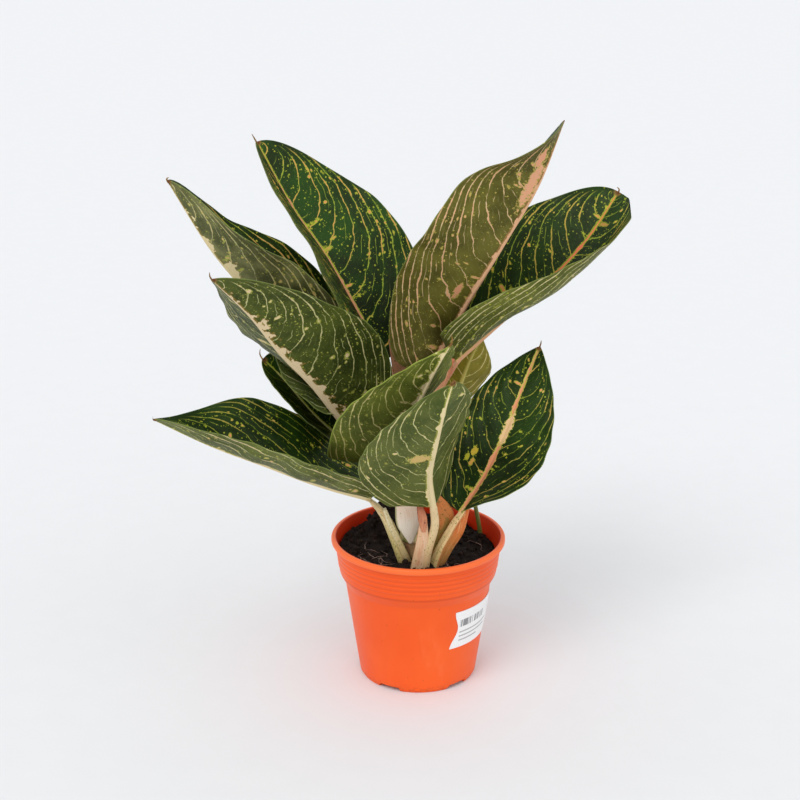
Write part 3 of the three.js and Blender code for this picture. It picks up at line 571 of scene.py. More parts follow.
# Midribs and paths run outwards, and a path goes on to its blade's foot. Halves are as seen from the cane.
LEAVES = [dict(
    azimuth=147, spacing=1.3, clasp=0.6, thread=(5, (-0.5, 0, 0.9)),
    midrib=[[-24, 0, 247], [-45, 13, 281], [-67, 28, 317], [-92, 43, 350], [-118, 60, 394]],
    right=half(61, (0.5, 0.52), 12, [30, 25, 22], 15, swell=[1, 1, 1.03, 1.08, 1]),
    left=half(57, (0.3, 0.6), 16, [22, 24, 28, 27, 28], [0, 4, 6, 4, 0]),
    path=[[-7, -10, 168], [-8, -6, 194], [-13, -3, 222]], widths=[7, 6, 4.6],
    face=dict(blobs=0.4, dots=0.36, pinks=0.8, line=(164, 180, 58), pink=(226, 146, 92), thick=0.5,
              light=(30, 66, 16), midrib=(206, 146, 106), rib=1.0, shade=0.7),
    # Painted shade: this underside is given darker tones for the shade that its folded half lies in.
    under=dict(dark=(36, 42, 17), light=(60, 64, 28), line=(206, 160, 122), pinks=0.9, blobs=0.3),
    stem=PINKISH,
), dict(
    azimuth=198, wave=(1, 1), spacing=1.4, clasp=1.1, thread=(3.5, (0.9, 0, 0.2)),
    midrib=[[-64, 0, 235], [-92, -8, 266], [-118, -17, 300], [-144, -26, 336], [-171, -36, 386]],
    right=half(52, (0.25, 0.6), 22, [72, 62, 54, 36, 25], [16, 16, 14, 10, 10]),
    left=half(50, (0.45, 0.6), 10, [48, 46, 44, 32, 28], [20, 20, 18, 14, 14]),
    path=[[-13, -14, 150], [-24, -8, 185], [-42, -3, 212]],
    face=dict(dark=(24, 38, 12)),
    # Painted sheen and shade: this underside is given lighter tones for the sheen on it, and darkens strongly
    # towards its foot.
    under=dict(dark=(78, 80, 44), light=(130, 130, 82), shade=0.9, blobs=0.46, line=(210, 206, 146),
               pink=(220, 182, 122), lobes=(15.0, 15.0), lobed=0.45, burnt=(150, 130, 66), dots=0.36),
    stem=CREAMY,
), dict(
    azimuth=221, wave=(1, 2), spacing=1.25, clasp=1.5, thread=(4.5, (0.1, 0, 1)),
    midrib=[[-54, -30, 209], [-74, -46, 243], [-94, -63, 271], [-114, -82, 305], [-136, -102, 335]],
    right=half(46, (0.45, 0.68), 10, [30, 10, 2, 0, 10], [10, 6, 6, 6, 6]),
    left=half(60, (0.45, 0.56), 10, [45, 48, 44, 34, 26], [20, 18, 16, 14, 12]),
    path=[[-10, -21, 132], [-21, -26, 162], [-36, -28, 188]],
    under=dict(dark=(46, 56, 18), light=(76, 86, 30), lobes=(3.0, 13.0), lobed=0.455, blobs=0.26, dots=0.3,
               midrib=(226, 204, 164), burnt=(158, 126, 60)),
    stem=CREAMY,
), dict(
    azimuth=-35, spacing=1.3, clasp=0.3,
    midrib=[[8, -1, 240], [34, -15, 295], [58, -31, 342], [79, -46, 385], [94, -60, 431]],
    right=half(60, (0.4, 0.55), 2, [15, 34, 30, 36, -20], [8, 10, 10, 14, 0]),
    left=half(52, (1.4, 0.75), 6, [50, 60, 60, 45, 30], [20, 24, 20, 10, 10]),
    path=[[-2, -9, 172], [-1, -8, 195], [2, -5, 218]],
    # Painted backlight: this underside's olive-yellow tones and pale veins stand for light shining through
    # the blade.
    under=dict(dark=(78, 72, 24), light=(108, 102, 40), line=(230, 200, 152), dot=(190, 174, 84),
               pink=(226, 164, 122), midrib=(226, 176, 136), blobs=0.24, dots=0.26, thick=0.46,
               lobes=(4.0, 4.0), lobed=0.5, burnt=(178, 130, 84), pinks=0.9, rib=1.8,
               patches=[(168, 5, 24, 3.6, (228, 168, 130)), (190, 8, 9, 3.4, (226, 160, 124)),
                        (70, 12, 7, 2.6, (222, 158, 118))]),
    stem=PINKISH,
), dict(
    azimuth=20, clasp=0.9, thread=(4, (-0.9, 0, 0.5)),
    midrib=[[26, -8, 248], [58, 4, 274], [91, 16, 299], [121, 28, 329], [144, 38, 362]],
    right=half(52, (0.3, 0.4), 8, [50, 13, -20, -26, -20], [30, 74, 102, 72, 0], hook=4),
    left=half(61, (0.8, 0.5), 5, [35, 38, 42, 42, 40], [10, 12, 12, 14, 14]),
    path=[[3, -13, 162], [6, -12, 192], [13, -10, 222]],
    face=dict(blobs=0.3, dots=0.34, pinks=0.55, pink=(236, 150, 92), midrib=(244, 128, 90),
              light=(28, 56, 14)),
    under=dict(dark=(72, 78, 26), light=(100, 104, 40), line=(214, 208, 150), dots=0.4, dot=(170, 174, 64),
               blobs=0.3, midrib=(224, 170, 128)),
    stem={**PINKISH, "high": (228, 184, 140)},
), dict(
    azimuth=190, spacing=1.6, slant=1.3, sweep=0.55, thread=(2.5, (0.6, 0, 0.9)),
    midrib=[[-35, -34, 153], [-72, -41, 167], [-109, -47, 184], [-146, -53, 201], [-185, -60, 223]],
    right=half(53, (0.45, 0.8), 10, [20, 25, 38, 42, 10], [10, 12, 20, 16, 10],
               swell=[1, 0.95, 0.93, 1.1, 0.8]),
    left=half(42, (0.45, 0.6), 10, [20, 10, 12, 20, 30], [40, 50, 46, 30, 10], billow=(1.3, 4.5, 0.6),
              apart=1.7),
    path=[[-8, -28, 94], [-16, -29, 118], [-24, -31, 137]], widths=[5, 4.4], depths=[5.2, 4.4],
    face=dict(dots=0.26, blobs=0.3, pinks=0.4, thick=0.34, lines=0.7),
    under=dict(dark=(66, 76, 30), light=(98, 106, 50), dots=0.36, blobs=0.44, line=(206, 204, 150),
               thick=0.5, pink=(222, 178, 140)),
    stem=skin((212, 198, 130), (230, 208, 162), (196, 190, 112), (112, 128, 44), 0.6, edge=(214, 180, 130)),
), dict(
    azimuth=43, spacing=1.25, thread=(4, (0, 0, 0.8)),
    midrib=[[30, -44, 146], [48, -31, 171], [63, -17, 199], [76, -3, 229], [88, 10, 254]],
    right=half(40, (1.5, 0.82), 0, [20, 4, -10, -10, 0], 0),
    left=half(41, (0.5, 0.8), 5, [14, 18, 16, 14, 10], 0),
    path=[[8.5, -38, 92], [14.2, -40, 113], [22, -41.5, 130]], widths=[4.4, 3.7, 3.2], depths=[3.4, 3, 2.6],
    face=dict(dots=0.16, blobs=0.22, thick=0.36, lines=0.7, faint=0.0, pinks=0.6, midrib=(230, 152, 110),
              lobes=(2.8, 2.8), lobed=0.46, burnt=(196, 186, 84), rim=1.0, rib=1.2,
              patches=[(70, 0.5, 14, 3.6, (236, 196, 144)), (46, -16, 4, 2.4, (206, 176, 62)),
                       (40, -19, 3.6, 1.8, (184, 176, 50)), (38, -14, 4, 1.6, (214, 160, 76))]),
    stem=skin((206, 186, 126), (232, 200, 146), (222, 186, 134), (110, 122, 48), 0.5, edge=(196, 122, 62)),
), dict(
    azimuth=150, wave=(0.5, 0), flutter=0.2, clasp=1.8, thread=(7, (0.3, 0, 1)),
    midrib=[[-61, 4, 188], [-76, 6, 202], [-89, 8, 217], [-102, 11, 232], [-114, 14, 243]],
    right=half(57, (0.35, 0.35), 3, [70, 82, 86, 88, 70], [84, 102, 106, 106, 100]),
    left=half(36.5, (0.42, 0.65), 4, [19, 22, 20, 12, 6], 10),
    path=[[-13, -12, 125], [-22, -3, 148], [-38, 2, 170]], widths=[5, 3.5], depths=[2.4, 2.2],
    face=dict(dark=(22, 36, 12), pinks=0.2, blobs=0.1, thick=0.26, lines=0.6, midrib=(190, 186, 120),
              rib=0.8),
    under=dict(dark=(60, 72, 32), light=(92, 104, 52), line=(210, 212, 160), faint=0.4, blobs=0.3),
    stem=skin((214, 206, 150), (200, 200, 140), (150, 160, 90), (110, 134, 62), 0.3),
), dict(
    azimuth=-66, spacing=1.2, thread=(5, (-0.4, 0.3, 0.9)),
    midrib=[[-31, -42, 178], [-17, -62, 208], [-2, -84, 242], [10, -103, 274], [20, -110, 294]],
    right=half(50, (0.42, 1.6), 20, [32, 15, 10, 10, 10], 10, swell=[1.1, 0.98, 0.9, 0.9, 1]),
    left=half(40, (0.8, 0.9), 6, [50, 44, 32, 28, 20], 10),
    path=[[-5.5, -31, 116.5], [-7.5, -30, 133], [-12, -31, 154]], widths=[1.8, 9.4, 7.5],
    depths=[1, 3, 2.6],
    under=dict(dark=(80, 90, 30), light=(112, 120, 46), lobes=(13.0, 3.0), lobed=0.45, blobs=0.36, dots=0.4,
               line=(208, 204, 124), margin=(164, 180, 80), border=(1.0, 0.6)),
    stem=skin((238, 232, 216), (240, 206, 178), (228, 206, 178), (180, 186, 130), 0.05,
              edge=(166, 168, 112), soiled=0.0),
), dict(
    azimuth=-78, spacing=1.25, thread=(3, (0.8, 0, -0.6)),
    midrib=[[10, -57, 156], [7, -77, 188], [11, -98, 220], [16, -114, 250], [21, -118, 270]],
    right=half(51, (0.45, 1.2), 7, [10, 0, -5, -5, 0], 10),
    left=half(38, (0.55, 0.55), 2, [45, 42, 38, 30, 24], 10, apart=1.7),
    path=[[3.2, -43, 96], [6.4, -46, 117], [11.2, -49.5, 138]], widths=[3.6, 3.3, 3.1],
    depths=[3, 2.6, 2.4],
    under=dict(dark=(66, 78, 30), light=(92, 100, 46), blobs=0.1, dots=0.14, lobes=(3.2, 3.2),
               patches=[(60, 10, 5, 8.5, (206, 176, 110))]),
    stem=skin((212, 186, 136), (230, 206, 160), (214, 180, 136), (124, 134, 62), 0.3, edge=(188, 154, 96)),
), dict(
    azimuth=-75, wave=(0.5, 0), flutter=0.2, thread=(3, (0.3, 0, -0.5)),
    midrib=[[25, 20, 206], [31, 17, 223], [35, 14, 236], [40, 10, 250], [46, 6, 262]],
    right=half(20, (0.45, 0.6), 4, 30, 10),
    left=half(24, (0.45, 1), 4, [20, 10, 10], 10),
    path=[[49, 23, 92], [45, 21, 116], [36, 20, 160]], widths=[1.8, 1.6, 1.6], depths=[1.6, 1.6, 1.6],
    # Painted backlight: this underside's bright olive-yellow tones stand for light shining through the blade.
    under=dict(dark=(114, 104, 26), light=(142, 130, 38), line=(214, 198, 120), rib=0.7,
               midrib=(196, 180, 96)),
    stem=skin((104, 112, 54), (128, 132, 66), (96, 104, 50), (84, 96, 48), 0.2),
)]

BLADE = dict(
    thick=0.6, rib_depth=2.4, rib_width=2.6, rib_end=0.8, groove=0.7, neck=2.4, point=0.5,
    rows=130, columns=26,
)
RIB_COLUMNS = (0, 0.2, 0.4, 0.6, 0.8, 1.0, 1.25)  # in shares of the midrib's half width
WAVES = 2  # along each margin
VEIN_GAP = 16.0
QUILTING = 0.16  # how high the blade stands between its side veins


def grown(number, own):
    """A leaf with its habit, number and name, and with its petiole's path carried on to its blade."""
    path = [*own["path"], own["midrib"][0]]
    return {**HABIT, **own, "number": number, "name": f"leaf_{number:02}", "path": path}


def outline(u, ends):
    """A half's share of its greatest width, which it has about two fifths of the way along."""
    base, tip = ends
    return np.sin(math.pi * u ** 0.72) ** lerp(base, tip, smooth(u, 0, 0.4))


def rib_reach(u, width):
    """Half the midrib's width along a blade."""
    return np.minimum(lerp(BLADE["rib_width"], BLADE["rib_end"], u), width * 0.4)


def half_blade(leaf, side, u):
    """Points, normals, distances from the midrib and their share of the width, over one half of a blade."""
    shape = leaf["right"] if side > 0 else leaf["left"]
    out, right, up = axes_along(leaf["midrib"], u, leaf["azimuth"])
    middle = spline(leaf["midrib"], u)
    width = np.maximum(lerp(BLADE["neck"], BLADE["point"], u), shape["width"] * outline(u, shape["ends"]))
    if "swell" in shape:
        width = width * spline(shape["swell"], u)
    rib = rib_reach(u, width)
    inset = np.minimum(0.35, 0.15 * width)
    near = [rib * k for k in RIB_COLUMNS]
    far = [lerp(near[-1], width - inset, k / BLADE["columns"]) for k in range(1, BLADE["columns"] + 1)]
    distance = np.stack(near + far + [width], 1)
    share = distance / width[:, None]
    fold, curl = (np.radians(spline(shape[key], u))[:, None] for key in ("fold", "curl"))
    step = np.diff(distance, axis=1)
    angle = fold + curl * (share[:, 1:] + share[:, :-1]) / 2
    start = np.zeros((len(u), 1))
    across = np.concatenate([start, np.cumsum(step * np.cos(angle), 1)], 1)
    raised = np.concatenate([start, np.cumsum(step * np.sin(angle), 1)], 1)
    here = fold + curl * share
    r, p, o = right[:, None], up[:, None], out[:, None]
    points = middle[:, None] + side * r * across[..., None] + p * raised[..., None]
    normals = p * np.cos(here)[..., None] - side * r * np.sin(here)[..., None]
    points = points + normals * margin_lift(leaf, shape, side, u, share)[..., None]
    back = shape["lobe"] * share * (1 - u[:, None]) ** 3 * smooth(u, 0, 0.06)[:, None]
    points = points - o * back[..., None]
    if "hook" in shape:
        reach = shape["hook"] * smooth(u, 0.7, 0.93) * smooth(u, 1.0, 0.965)
        points = points + o * (reach[:, None] * smooth(share, 0, 0.7))[..., None]
    normals[:, 0] = up
    return points, normals, distance, share


def margin_lift(leaf, shape, side, u, share):
    """How far the waves of a half blade lift it: its wave, its billow if it has one, and its flutter."""
    height, turn = leaf["wave"]
    bell = np.sin(math.pi * np.clip(u, 0, 1))[:, None]
    lift = height * np.sin(FULL_TURN * WAVES * u + turn + side)[:, None] * share ** 2 * bell
    if "billow" in shape:
        size, folds, at = shape["billow"]
        lift = lift + size * np.sin(FULL_TURN * folds * u + at)[:, None] * 4 * share * (1 - share) * bell
    rate, start = 5.3 + 0.7 * side + leaf["number"] * 0.37, leaf["number"] * 2.1 * side
    return lift + leaf["flutter"] * np.sin(FULL_TURN * rate * u + start)[:, None] * share ** 5 * bell


def vein_field(leaf, points, along, distance, share, side):
    """How many side veins lie below each point of a half blade, and how far apart they are there."""
    shape = leaf["right"] if side > 0 else leaf["left"]
    spacing = VEIN_GAP * leaf["spacing"] * shape.get("apart", 1.0)
    field = along[:, None] - leaf["slant"] * distance - leaf["sweep"] * along[-1] * share ** 3
    count = field / spacing + 0.27 * leaf["number"] + 0.45 * side
    down, over = np.gradient(points, axis=0), np.gradient(points, axis=1)
    a, b, c = (down * down).sum(-1), (down * over).sum(-1), (over * over).sum(-1)
    x, y = np.gradient(count, axis=0), np.gradient(count, axis=1)
    slope = (c * x * x - 2 * b * x * y + a * y * y) / np.maximum(a * c - b * b, 1e-9)
    return count, np.clip(1 / np.sqrt(np.maximum(slope, 1e-6)), 0.1, 30)


def half_grid(leaf, side, u, along):
    """A quilted half blade from the midrib outwards, with the vectors that its material reads."""
    points, normals, distance, share = half_blade(leaf, side, u)
    count, apart = vein_field(leaf, points, along, distance, share, side)
    ripple = np.cos(FULL_TURN * count) * smooth(apart, 2, 8) * smooth(share, 0.05, 0.3)
    points = points - normals * (QUILTING * ripple)[..., None]
    own = np.full_like(share, leaf["number"] * 37.0)
    place = np.stack([spread(along, share.shape[1]), distance * side, own], -1)
    vein = np.stack([count, apart, distance[:, -1:] - distance], -1)
    return points, normals, distance, place, vein


def ringed(grid):
    """What a blade's face holds, carried round each ring: over one rim, back underneath and to the other."""
    return np.concatenate([grid, grid[:, -1:], grid[:, ::-1], grid[:, :1]], 1)


def blade_faces(rows, across):
    """Faces of a blade's closed skin, and the slot of each: 0 for its face and 1 for the rest."""
    count = 2 * across + 2
    faces = loft_faces(rows, count, closed=False)
    slot = np.ones((rows - 1, count), int)
    slot[:, : across - 1] = 0
    slots = slot.ravel().tolist()
    for row in (0, rows - 1):
        start = row * count
        ends = [[k, k + 1, 2 * across - 1 - k, 2 * across - k] for k in range(across - 1)]
        ends += [[across - 1, across, across + 1], [0, count - 1, 2 * across]]
        for end in ends:
            faces.append([start + k for k in end][:: 1 if row == 0 else -1])
            slots.append(1)
    return faces, slots


def blade_piece(leaf):
    t = np.linspace(0, 1, BLADE["rows"])
    u = t - 0.8 * np.sin(FULL_TURN * t) / FULL_TURN
    middle = spline(leaf["midrib"], u)
    halves = [half_grid(leaf, side, u, way_along(middle)) for side in (1, -1)]
    points, normals, distance, place, vein = (
        np.concatenate([right[:, ::-1], left[:, 1:]], 1) for right, left in zip(*halves)
    )
    taper = 1 - u[:, None]
    from_rib = distance / rib_reach(u, halves[0][2][:, -1])[:, None]
    groove = BLADE["groove"] * taper ** 0.6 * np.exp(-(from_rib / 0.6) ** 2)
    depth = BLADE["rib_depth"] * min(1, leaf["right"]["width"] / 40)
    ridge = depth * taper ** 0.8 * np.cos(np.clip(from_rib, 0, 1) * math.pi / 2) ** 1.3
    half_thick = BLADE["thick"] / 2
    face = points + normals * (half_thick - groove)[..., None]
    under = points - normals * (half_thick + np.maximum(ridge, groove * 1.2))[..., None]
    rims = [
        points[:, k:][:, :1] + unit(points[:, k] - points[:, n])[:, None] * half_thick * 0.8
        for k, n in ((0, 1), (-1, -2))
    ]
    rings = np.concatenate([face, rims[1], under[:, ::-1], rims[0]], 1)
    faces, slots = blade_faces(len(rings), points.shape[1])
    attributes = [
        ("place", ringed(place).reshape(-1, 3)),
        ("vein", ringed(vein).reshape(-1, 3)),
        ("u", spread(u, rings.shape[1]).ravel()),
        ("tip", np.linalg.norm(rings - middle[-1], axis=-1).ravel()),
    ]
    name = leaf["name"]
    materials = [
        leaf_material(f"{name}_face", {**FACE, **leaf["face"]}, True),
        leaf_material(f"{name}_underside", {**UNDER, **leaf["under"]}, False),
    ]
    piece = mesh_piece(f"{name}_blade_look", rings.reshape(-1, 3), faces, attributes, materials, slots)
    finish_piece(piece, "leaf", f"{name}_blade")


# ---------- stems ----------

STALK_SIDES = 40
CHANNEL = 34  # half width in degrees of the channel down a stalk's face
SCAR_GAP = 11  # from one ring scar to the next
# How far a petiole's steps run past its end into its blade, how long a whole run of steps would be, how far
# under the midrib it lies there, and its half width and half depth there.
RUN_ON = dict(over=0.12, length=60, sunk=0.95, width=2.75, depth=1.75)
PETIOLE_GROOVE = 0.32
SHEATH_GROOVE = 0.3
THREAD_RADIUS = 0.62


def stalk_rings(path, azimuth, widths, depths, steps=70, groove=0.0, scars=0.0, last=None):
    """Rings of a channelled stalk. A cane has ring scars, and a petiole runs on into its blade's midrib."""
    over = 0.0 if last is None else RUN_ON["over"]
    t = np.linspace(0, 1 + over, steps)
    here = np.minimum(t, 1)
    out, right, up = axes_along(path, here, azimuth)
    middle = spline(path, here)
    if last is not None:
        blend = smooth(t, 0.82, 1.0)[:, None]
        end = axes_along(last, np.zeros(1), azimuth)
        out, right, up = (unit(a * (1 - blend) + b * blend) for a, b in zip((out, right, up), end))
        beyond = np.maximum(t - 1, 0) * RUN_ON["length"]
        middle = middle + out * beyond[:, None] - up * (RUN_ON["sunk"] * blend)
    angle = turn_by(STALK_SIDES)
    w, d = (spline(half_sizes, here)[:, None] for half_sizes in (widths, depths))
    shrink = (1 - 0.6 * smooth(t, 1.0, 1 + over + 1e-6))[:, None]
    radius = 1 - groove * np.exp(-(((np.degrees(angle) - 270) / CHANNEL) ** 2))[None]
    length = way_along(np.array(path, float))[-1]
    radius = radius + scars * np.exp(-(((t * length) % SCAR_GAP - SCAR_GAP / 2) / 0.8) ** 2)[:, None]
    x, y = radius * w * np.cos(angle) * shrink, radius * d * np.sin(angle) * shrink
    rings = middle[:, None] + right[:, None] * x[..., None] - up[:, None] * y[..., None]
    around = np.abs(angle - math.pi)[None] * (w + d) / 2
    edge = np.repeat(np.abs(np.cos(angle))[None] ** 6, steps, 0)
    return rings, spread(way_along(middle), STALK_SIDES), around, spread(t, STALK_SIDES), edge


def stalk_piece(name, number, material, slot, node, layer=None, **shape):
    rings, run, around, t, edge = stalk_rings(**shape)
    if layer is not None:
        rings = clasp(rings, shape["azimuth"], layer)
    stalk = np.stack([run, around, np.full_like(run, number * 17.0)], -1)
    piece = loft_piece(name, rings, [("stalk", stalk), ("t", t), ("edge", edge)], materials=[material])
    finish_piece(piece, slot, node)


CANE = [[-2, -24, 84], [-4, -18, 134], [-6, -11, 184], [-8, -4, 232]]
CANE_RADII = [8, 7.7, 6.9, 4]
# where a clasping sheath starts and ends to leave the cane, how far it slides down it and how clear it lies
CLASP = dict(ends=(0.03, 0.42), slide=9, clear=0.4)


def clasp(rings, azimuth, layer):
    """The foot of a petiole, opened out so that its sheath goes round the cane."""
    steps, sides = rings.shape[:2]
    a = math.radians(azimuth)
    outward, right = np.array([math.cos(a), math.sin(a), 0]), np.array([math.sin(a), -math.cos(a), 0])
    angle = turn_by(sides)[:, None]
    hold = 1 - smooth(np.linspace(0, 1, steps), *CLASP["ends"])
    z = rings[..., 2].mean(1) - CLASP["slide"] * hold
    share = np.clip((z - CANE[0][2]) / (CANE[-1][2] - CANE[0][2]), 0, 1)
    axis = spline(CANE, share)
    axis[:, 2] = z
    radius = spline(CANE_RADII, share) + CLASP["clear"] + layer
    circle = axis[:, None] + radius[:, None, None] * (right * np.cos(angle) + outward * np.sin(angle))
    hold = hold[:, None, None]
    return circle * hold + rings * (1 - hold)


def petiole_piece(leaf):
    """A leaf's petiole, darker at its foot unless it clasps the cane or its stem says otherwise."""
    name = leaf["name"]
    tones = {"soiled": 0.85 if leaf["clasp"] is None else 0.0, **leaf["stem"]}
    shape = dict(
        path=leaf["path"], azimuth=leaf["azimuth"], widths=[*leaf["widths"], RUN_ON["width"]],
        depths=[*leaf["depths"], RUN_ON["depth"]], groove=PETIOLE_GROOVE, last=leaf["midrib"],
    )
    stalk_piece(
        f"{name}_petiole_look", leaf["number"], stem_material(f"{name}_petiole_skin", **tones), "petiole",
        f"{name}_petiole", layer=leaf["clasp"], **shape,
    )


CANE_SKIN = skin(
    (166, 122, 92), (150, 146, 84), (178, 146, 104), (104, 92, 56), 0.3, rough=0.55, stain=(132, 128, 72)
)
# The crown: canes and the sheaths that clasp them. A leaf's sheath stands for part of its petiole.
CROWN = [dict(
    name="main_cane", slot="cane", azimuth=0, scars=0.06, steps=200,
    path=CANE, widths=CANE_RADII, depths=CANE_RADII,
    skin=CANE_SKIN,
), dict(
    name="front_cane", slot="cane", azimuth=0, scars=0.05,
    path=[[9, -32, 84], [10, -31, 98], [12, -31, 114], [14, -32, 130]],
    widths=[4.8, 4.6, 3.6, 0.7], depths=[4.8, 4.4, 3.2, 0.6],
    skin=CANE_SKIN,
), dict(
    name="husk", slot="husk", azimuth=-70,
    path=[[8, -36, 92], [11.6, -37, 116], [18.6, -39.5, 140], [12.6, -43.5, 161.5]],
    widths=[6, 7.6, 7.6, 0.6], depths=[1.2, 1.2, 1, 0.4],
    skin=skin((120, 112, 50), (204, 122, 64), (176, 104, 54), (96, 70, 34), 0.3, rough=0.6,
              edge=(150, 84, 40), stain=(112, 104, 44)),
), dict(
    name="dried_sheath", slot="dry_sheath", azimuth=-90,
    path=[[3.4, -50.8, 134], [2.6, -52, 144], [0.8, -53, 153], [-1.6, -53.6, 161.4]],
    widths=[1.6, 3.3, 2.5, 0.5], depths=[0.6, 0.9, 0.7, 0.4],
    skin=skin((206, 140, 104), (136, 62, 38), (170, 90, 60), (96, 40, 26), 0.3, rough=0.6,
              edge=(120, 60, 38), soiled=0.0),
), dict(
    name="leaf_10_sheath", slot="petiole", azimuth=-84, groove=0.4,
    path=[[-1.2, -44, 94], [0.6, -46.5, 111], [2.6, -49, 128], [3.2, -50.6, 143]],
    widths=[6.6, 5.4, 4.4, 2.8], depths=[2.0, 1.7, 1.3, 0.8],
    skin=skin((218, 190, 146), (222, 176, 140), (228, 200, 166), (150, 136, 70), 0.3, edge=(146, 104, 60),
              stain=(212, 152, 116)),
), dict(
    name="leaf_07_sheath", slot="petiole", azimuth=-60,
    path=[[12, -36, 94], [20, -37.5, 113], [29, -39, 129], [36, -41.5, 149]],
    widths=[4.6, 5.2, 4.6, 0.8], depths=[1.2, 1.1, 0.9, 0.4],
    skin=skin((196, 150, 84), (214, 110, 46), (228, 178, 120), (150, 84, 40), 0.2, edge=(198, 96, 40)),
), dict(
    name="leaf_06_sheath", slot="petiole", azimuth=190,
    path=[[-6.6, -31, 100], [-14.2, -33, 118], [-20, -34, 132], [-24.6, -35, 145]],
    widths=[3, 3, 2.4], depths=[3.2, 2.6, 1.7],
    skin=skin((214, 196, 132), (232, 222, 184), (222, 206, 156), (120, 132, 50), 0.6, edge=(210, 190, 140)),
), dict(
    # Painted shade: this sheath's dark brown tones stand for the deep shade among the crown's petioles.
    name="leaf_01_sheath", slot="petiole", azimuth=-80,
    path=[[-8, -5, 216], [-11, -5, 232], [-14.5, -5, 248], [-20, -4, 264]],
    widths=[5, 6, 5.6, 2.2], depths=[1.4, 1.2, 1.0, 0.6],
    skin=skin((120, 92, 60), (196, 136, 104), (150, 104, 76), (90, 80, 40), 0.3, edge=(112, 72, 48),
              soiled=0.0),
), dict(
    name="leaf_05_sheath", slot="petiole", azimuth=-70,
    path=[[9, -13, 216], [14, -14.6, 230], [18.6, -15.2, 242], [24, -15.4, 253]],
    widths=[3.2, 4.4, 4.4, 2.0], depths=[1.2, 1.1, 1.0, 0.7],
    skin=skin((216, 160, 118), (206, 122, 88), (228, 178, 138), (140, 80, 56), 0.2, edge=(176, 84, 60),
              soiled=0.0),
)]


def crown():
    """Canes and sheaths, whose numbers past the leaves' own give each its own pattern."""
    for number, part in enumerate(CROWN, 31):
        shape = {"groove": 0.0 if part["slot"] == "cane" else SHEATH_GROOVE, **part}
        name, slot, tones = (shape.pop(key) for key in ("name", "slot", "skin"))
        node = name.replace("_sheath", "_petiole") if name.startswith("leaf_") else name
        stalk_piece(f"{name}_look", number, stem_material(f"{name}_skin", **tones), slot, node, **shape)


def threads_piece(leaves, material):
    """The dried threads that leaves end in."""
    parts = []
    for leaf in leaves:
        if leaf["thread"] is None:
            continue
        length, bend = leaf["thread"]
        out = axes_along(leaf["midrib"], np.ones(1), leaf["azimuth"])[0][0]
        end, bend = np.array(leaf["midrib"][-1], float), np.array(bend)
        path = [end - 2 * out, end]
        path += [end + length * (ahead * out + aside * bend) for ahead, aside in ((0.45, 0.2), (0.6, 0.7))]
        parts.append(tube(path, THREAD_RADIUS, sides=8, steps=30, rough=0.04))
    scatter_piece("leaf_threads", parts, material, "leaf")


# ---------- pot, label and soil ----------

# heights and outer radii of the pot's wall, without its ribs
POT_STATIONS = [(1.6, 44), (75, 54.8), (83.5, 59), (105.5, 61.8), (110, 61.8)]
POT_SIDES = 256
WALL = 1.4
ROUNDING = 0.5
# notches in the foot ring: where they start and end in degrees, and their height
NOTCH = dict(start=120, every=72, ends=(11.6, 10.2), top=3.38)
DRAIN = dict(count=4, away=24, radius=4, sides=24, low=2.0, high=9.0)
# The label: its left edge's angle, its length, the heights of its foot and top, how far its ends bow in and
# lean, how far off the wall its two sides lie, and how much further its right end does.
LABEL = dict(
    left=math.radians(-61), long=52, foot=36.5, top=67.5, bow=4.5, lean=1.5, sides=(0.45, 0.12), curl=0.25,
)


def pot_radius(z):
    heights, radii = zip(*POT_STATIONS)
    return np.interp(z, heights, radii)


def rounded(corners, arc=4):
    """A line of corners, (radius, height) or (radius, height, rounding), with each one rounded off."""
    points = [np.array(corners[0][:2], float)]
    for before, corner, after in zip(corners, corners[1:], corners[2:]):
        size = corner[2] if len(corner) > 2 else ROUNDING
        b = np.array(corner[:2], float)
        a, c = np.array(before[:2], float) - b, np.array(after[:2], float) - b
        reach = min(size, 0.45 * np.linalg.norm(a), 0.45 * np.linalg.norm(c))
        start, end = b + a / np.linalg.norm(a) * reach, b + c / np.linalg.norm(c) * reach
        for k in range(arc + 1):
            t = k / arc
            points.append(start * (1 - t) ** 2 + 2 * b * t * (1 - t) + end * t * t)
    points.append(np.array(corners[-1][:2], float))
    return np.array(points)


def pot_profile():
    """The pot's section, from the middle of its underside out, up the wall, over the lip and down inside."""
    line = [(0.02, 0), (13, 0), (14, 4), (39.5, 4), (40.5, 0, 0.4), (43, 0, 0.4), (43, 1.6), (44, 1.6, 0.4)]
    line += [(pot_radius(z), z, 0) for z in (3.4, 3.6, 20, 40, 60)]
    line += [(54.8, 75, 1.5), (58.4, 81.7, 1.2), (59, 83.5, 0.8)]
    for z in RIBS:
        for rise, out, rounding in ((-1.3, 0, 0.5), (0, 0.5, 0.9), (1.3, 0, 0.5)):
            line.append((pot_radius(z + rise) + out, z + rise, rounding))
    line += [(61.8, 104.9, 0.5), (64.2, 105.5, 0.4), (65, 106.5, 0.9), (65, 108.8, 1.2), (64, 110, 0.9)]
    line += [(61.9, 110, 0.5), (61.4, 109.4, 0.5), (60.8, 105.5, 0.6), (57.6, 83.5, 1.5), (53.4, 75, 1.5)]
    line += [(pot_radius(5.6) - WALL, 5.6, 1.2), (13, 5.6), (12, 1.4), (0.02, 1.4)]
    return rounded(line)


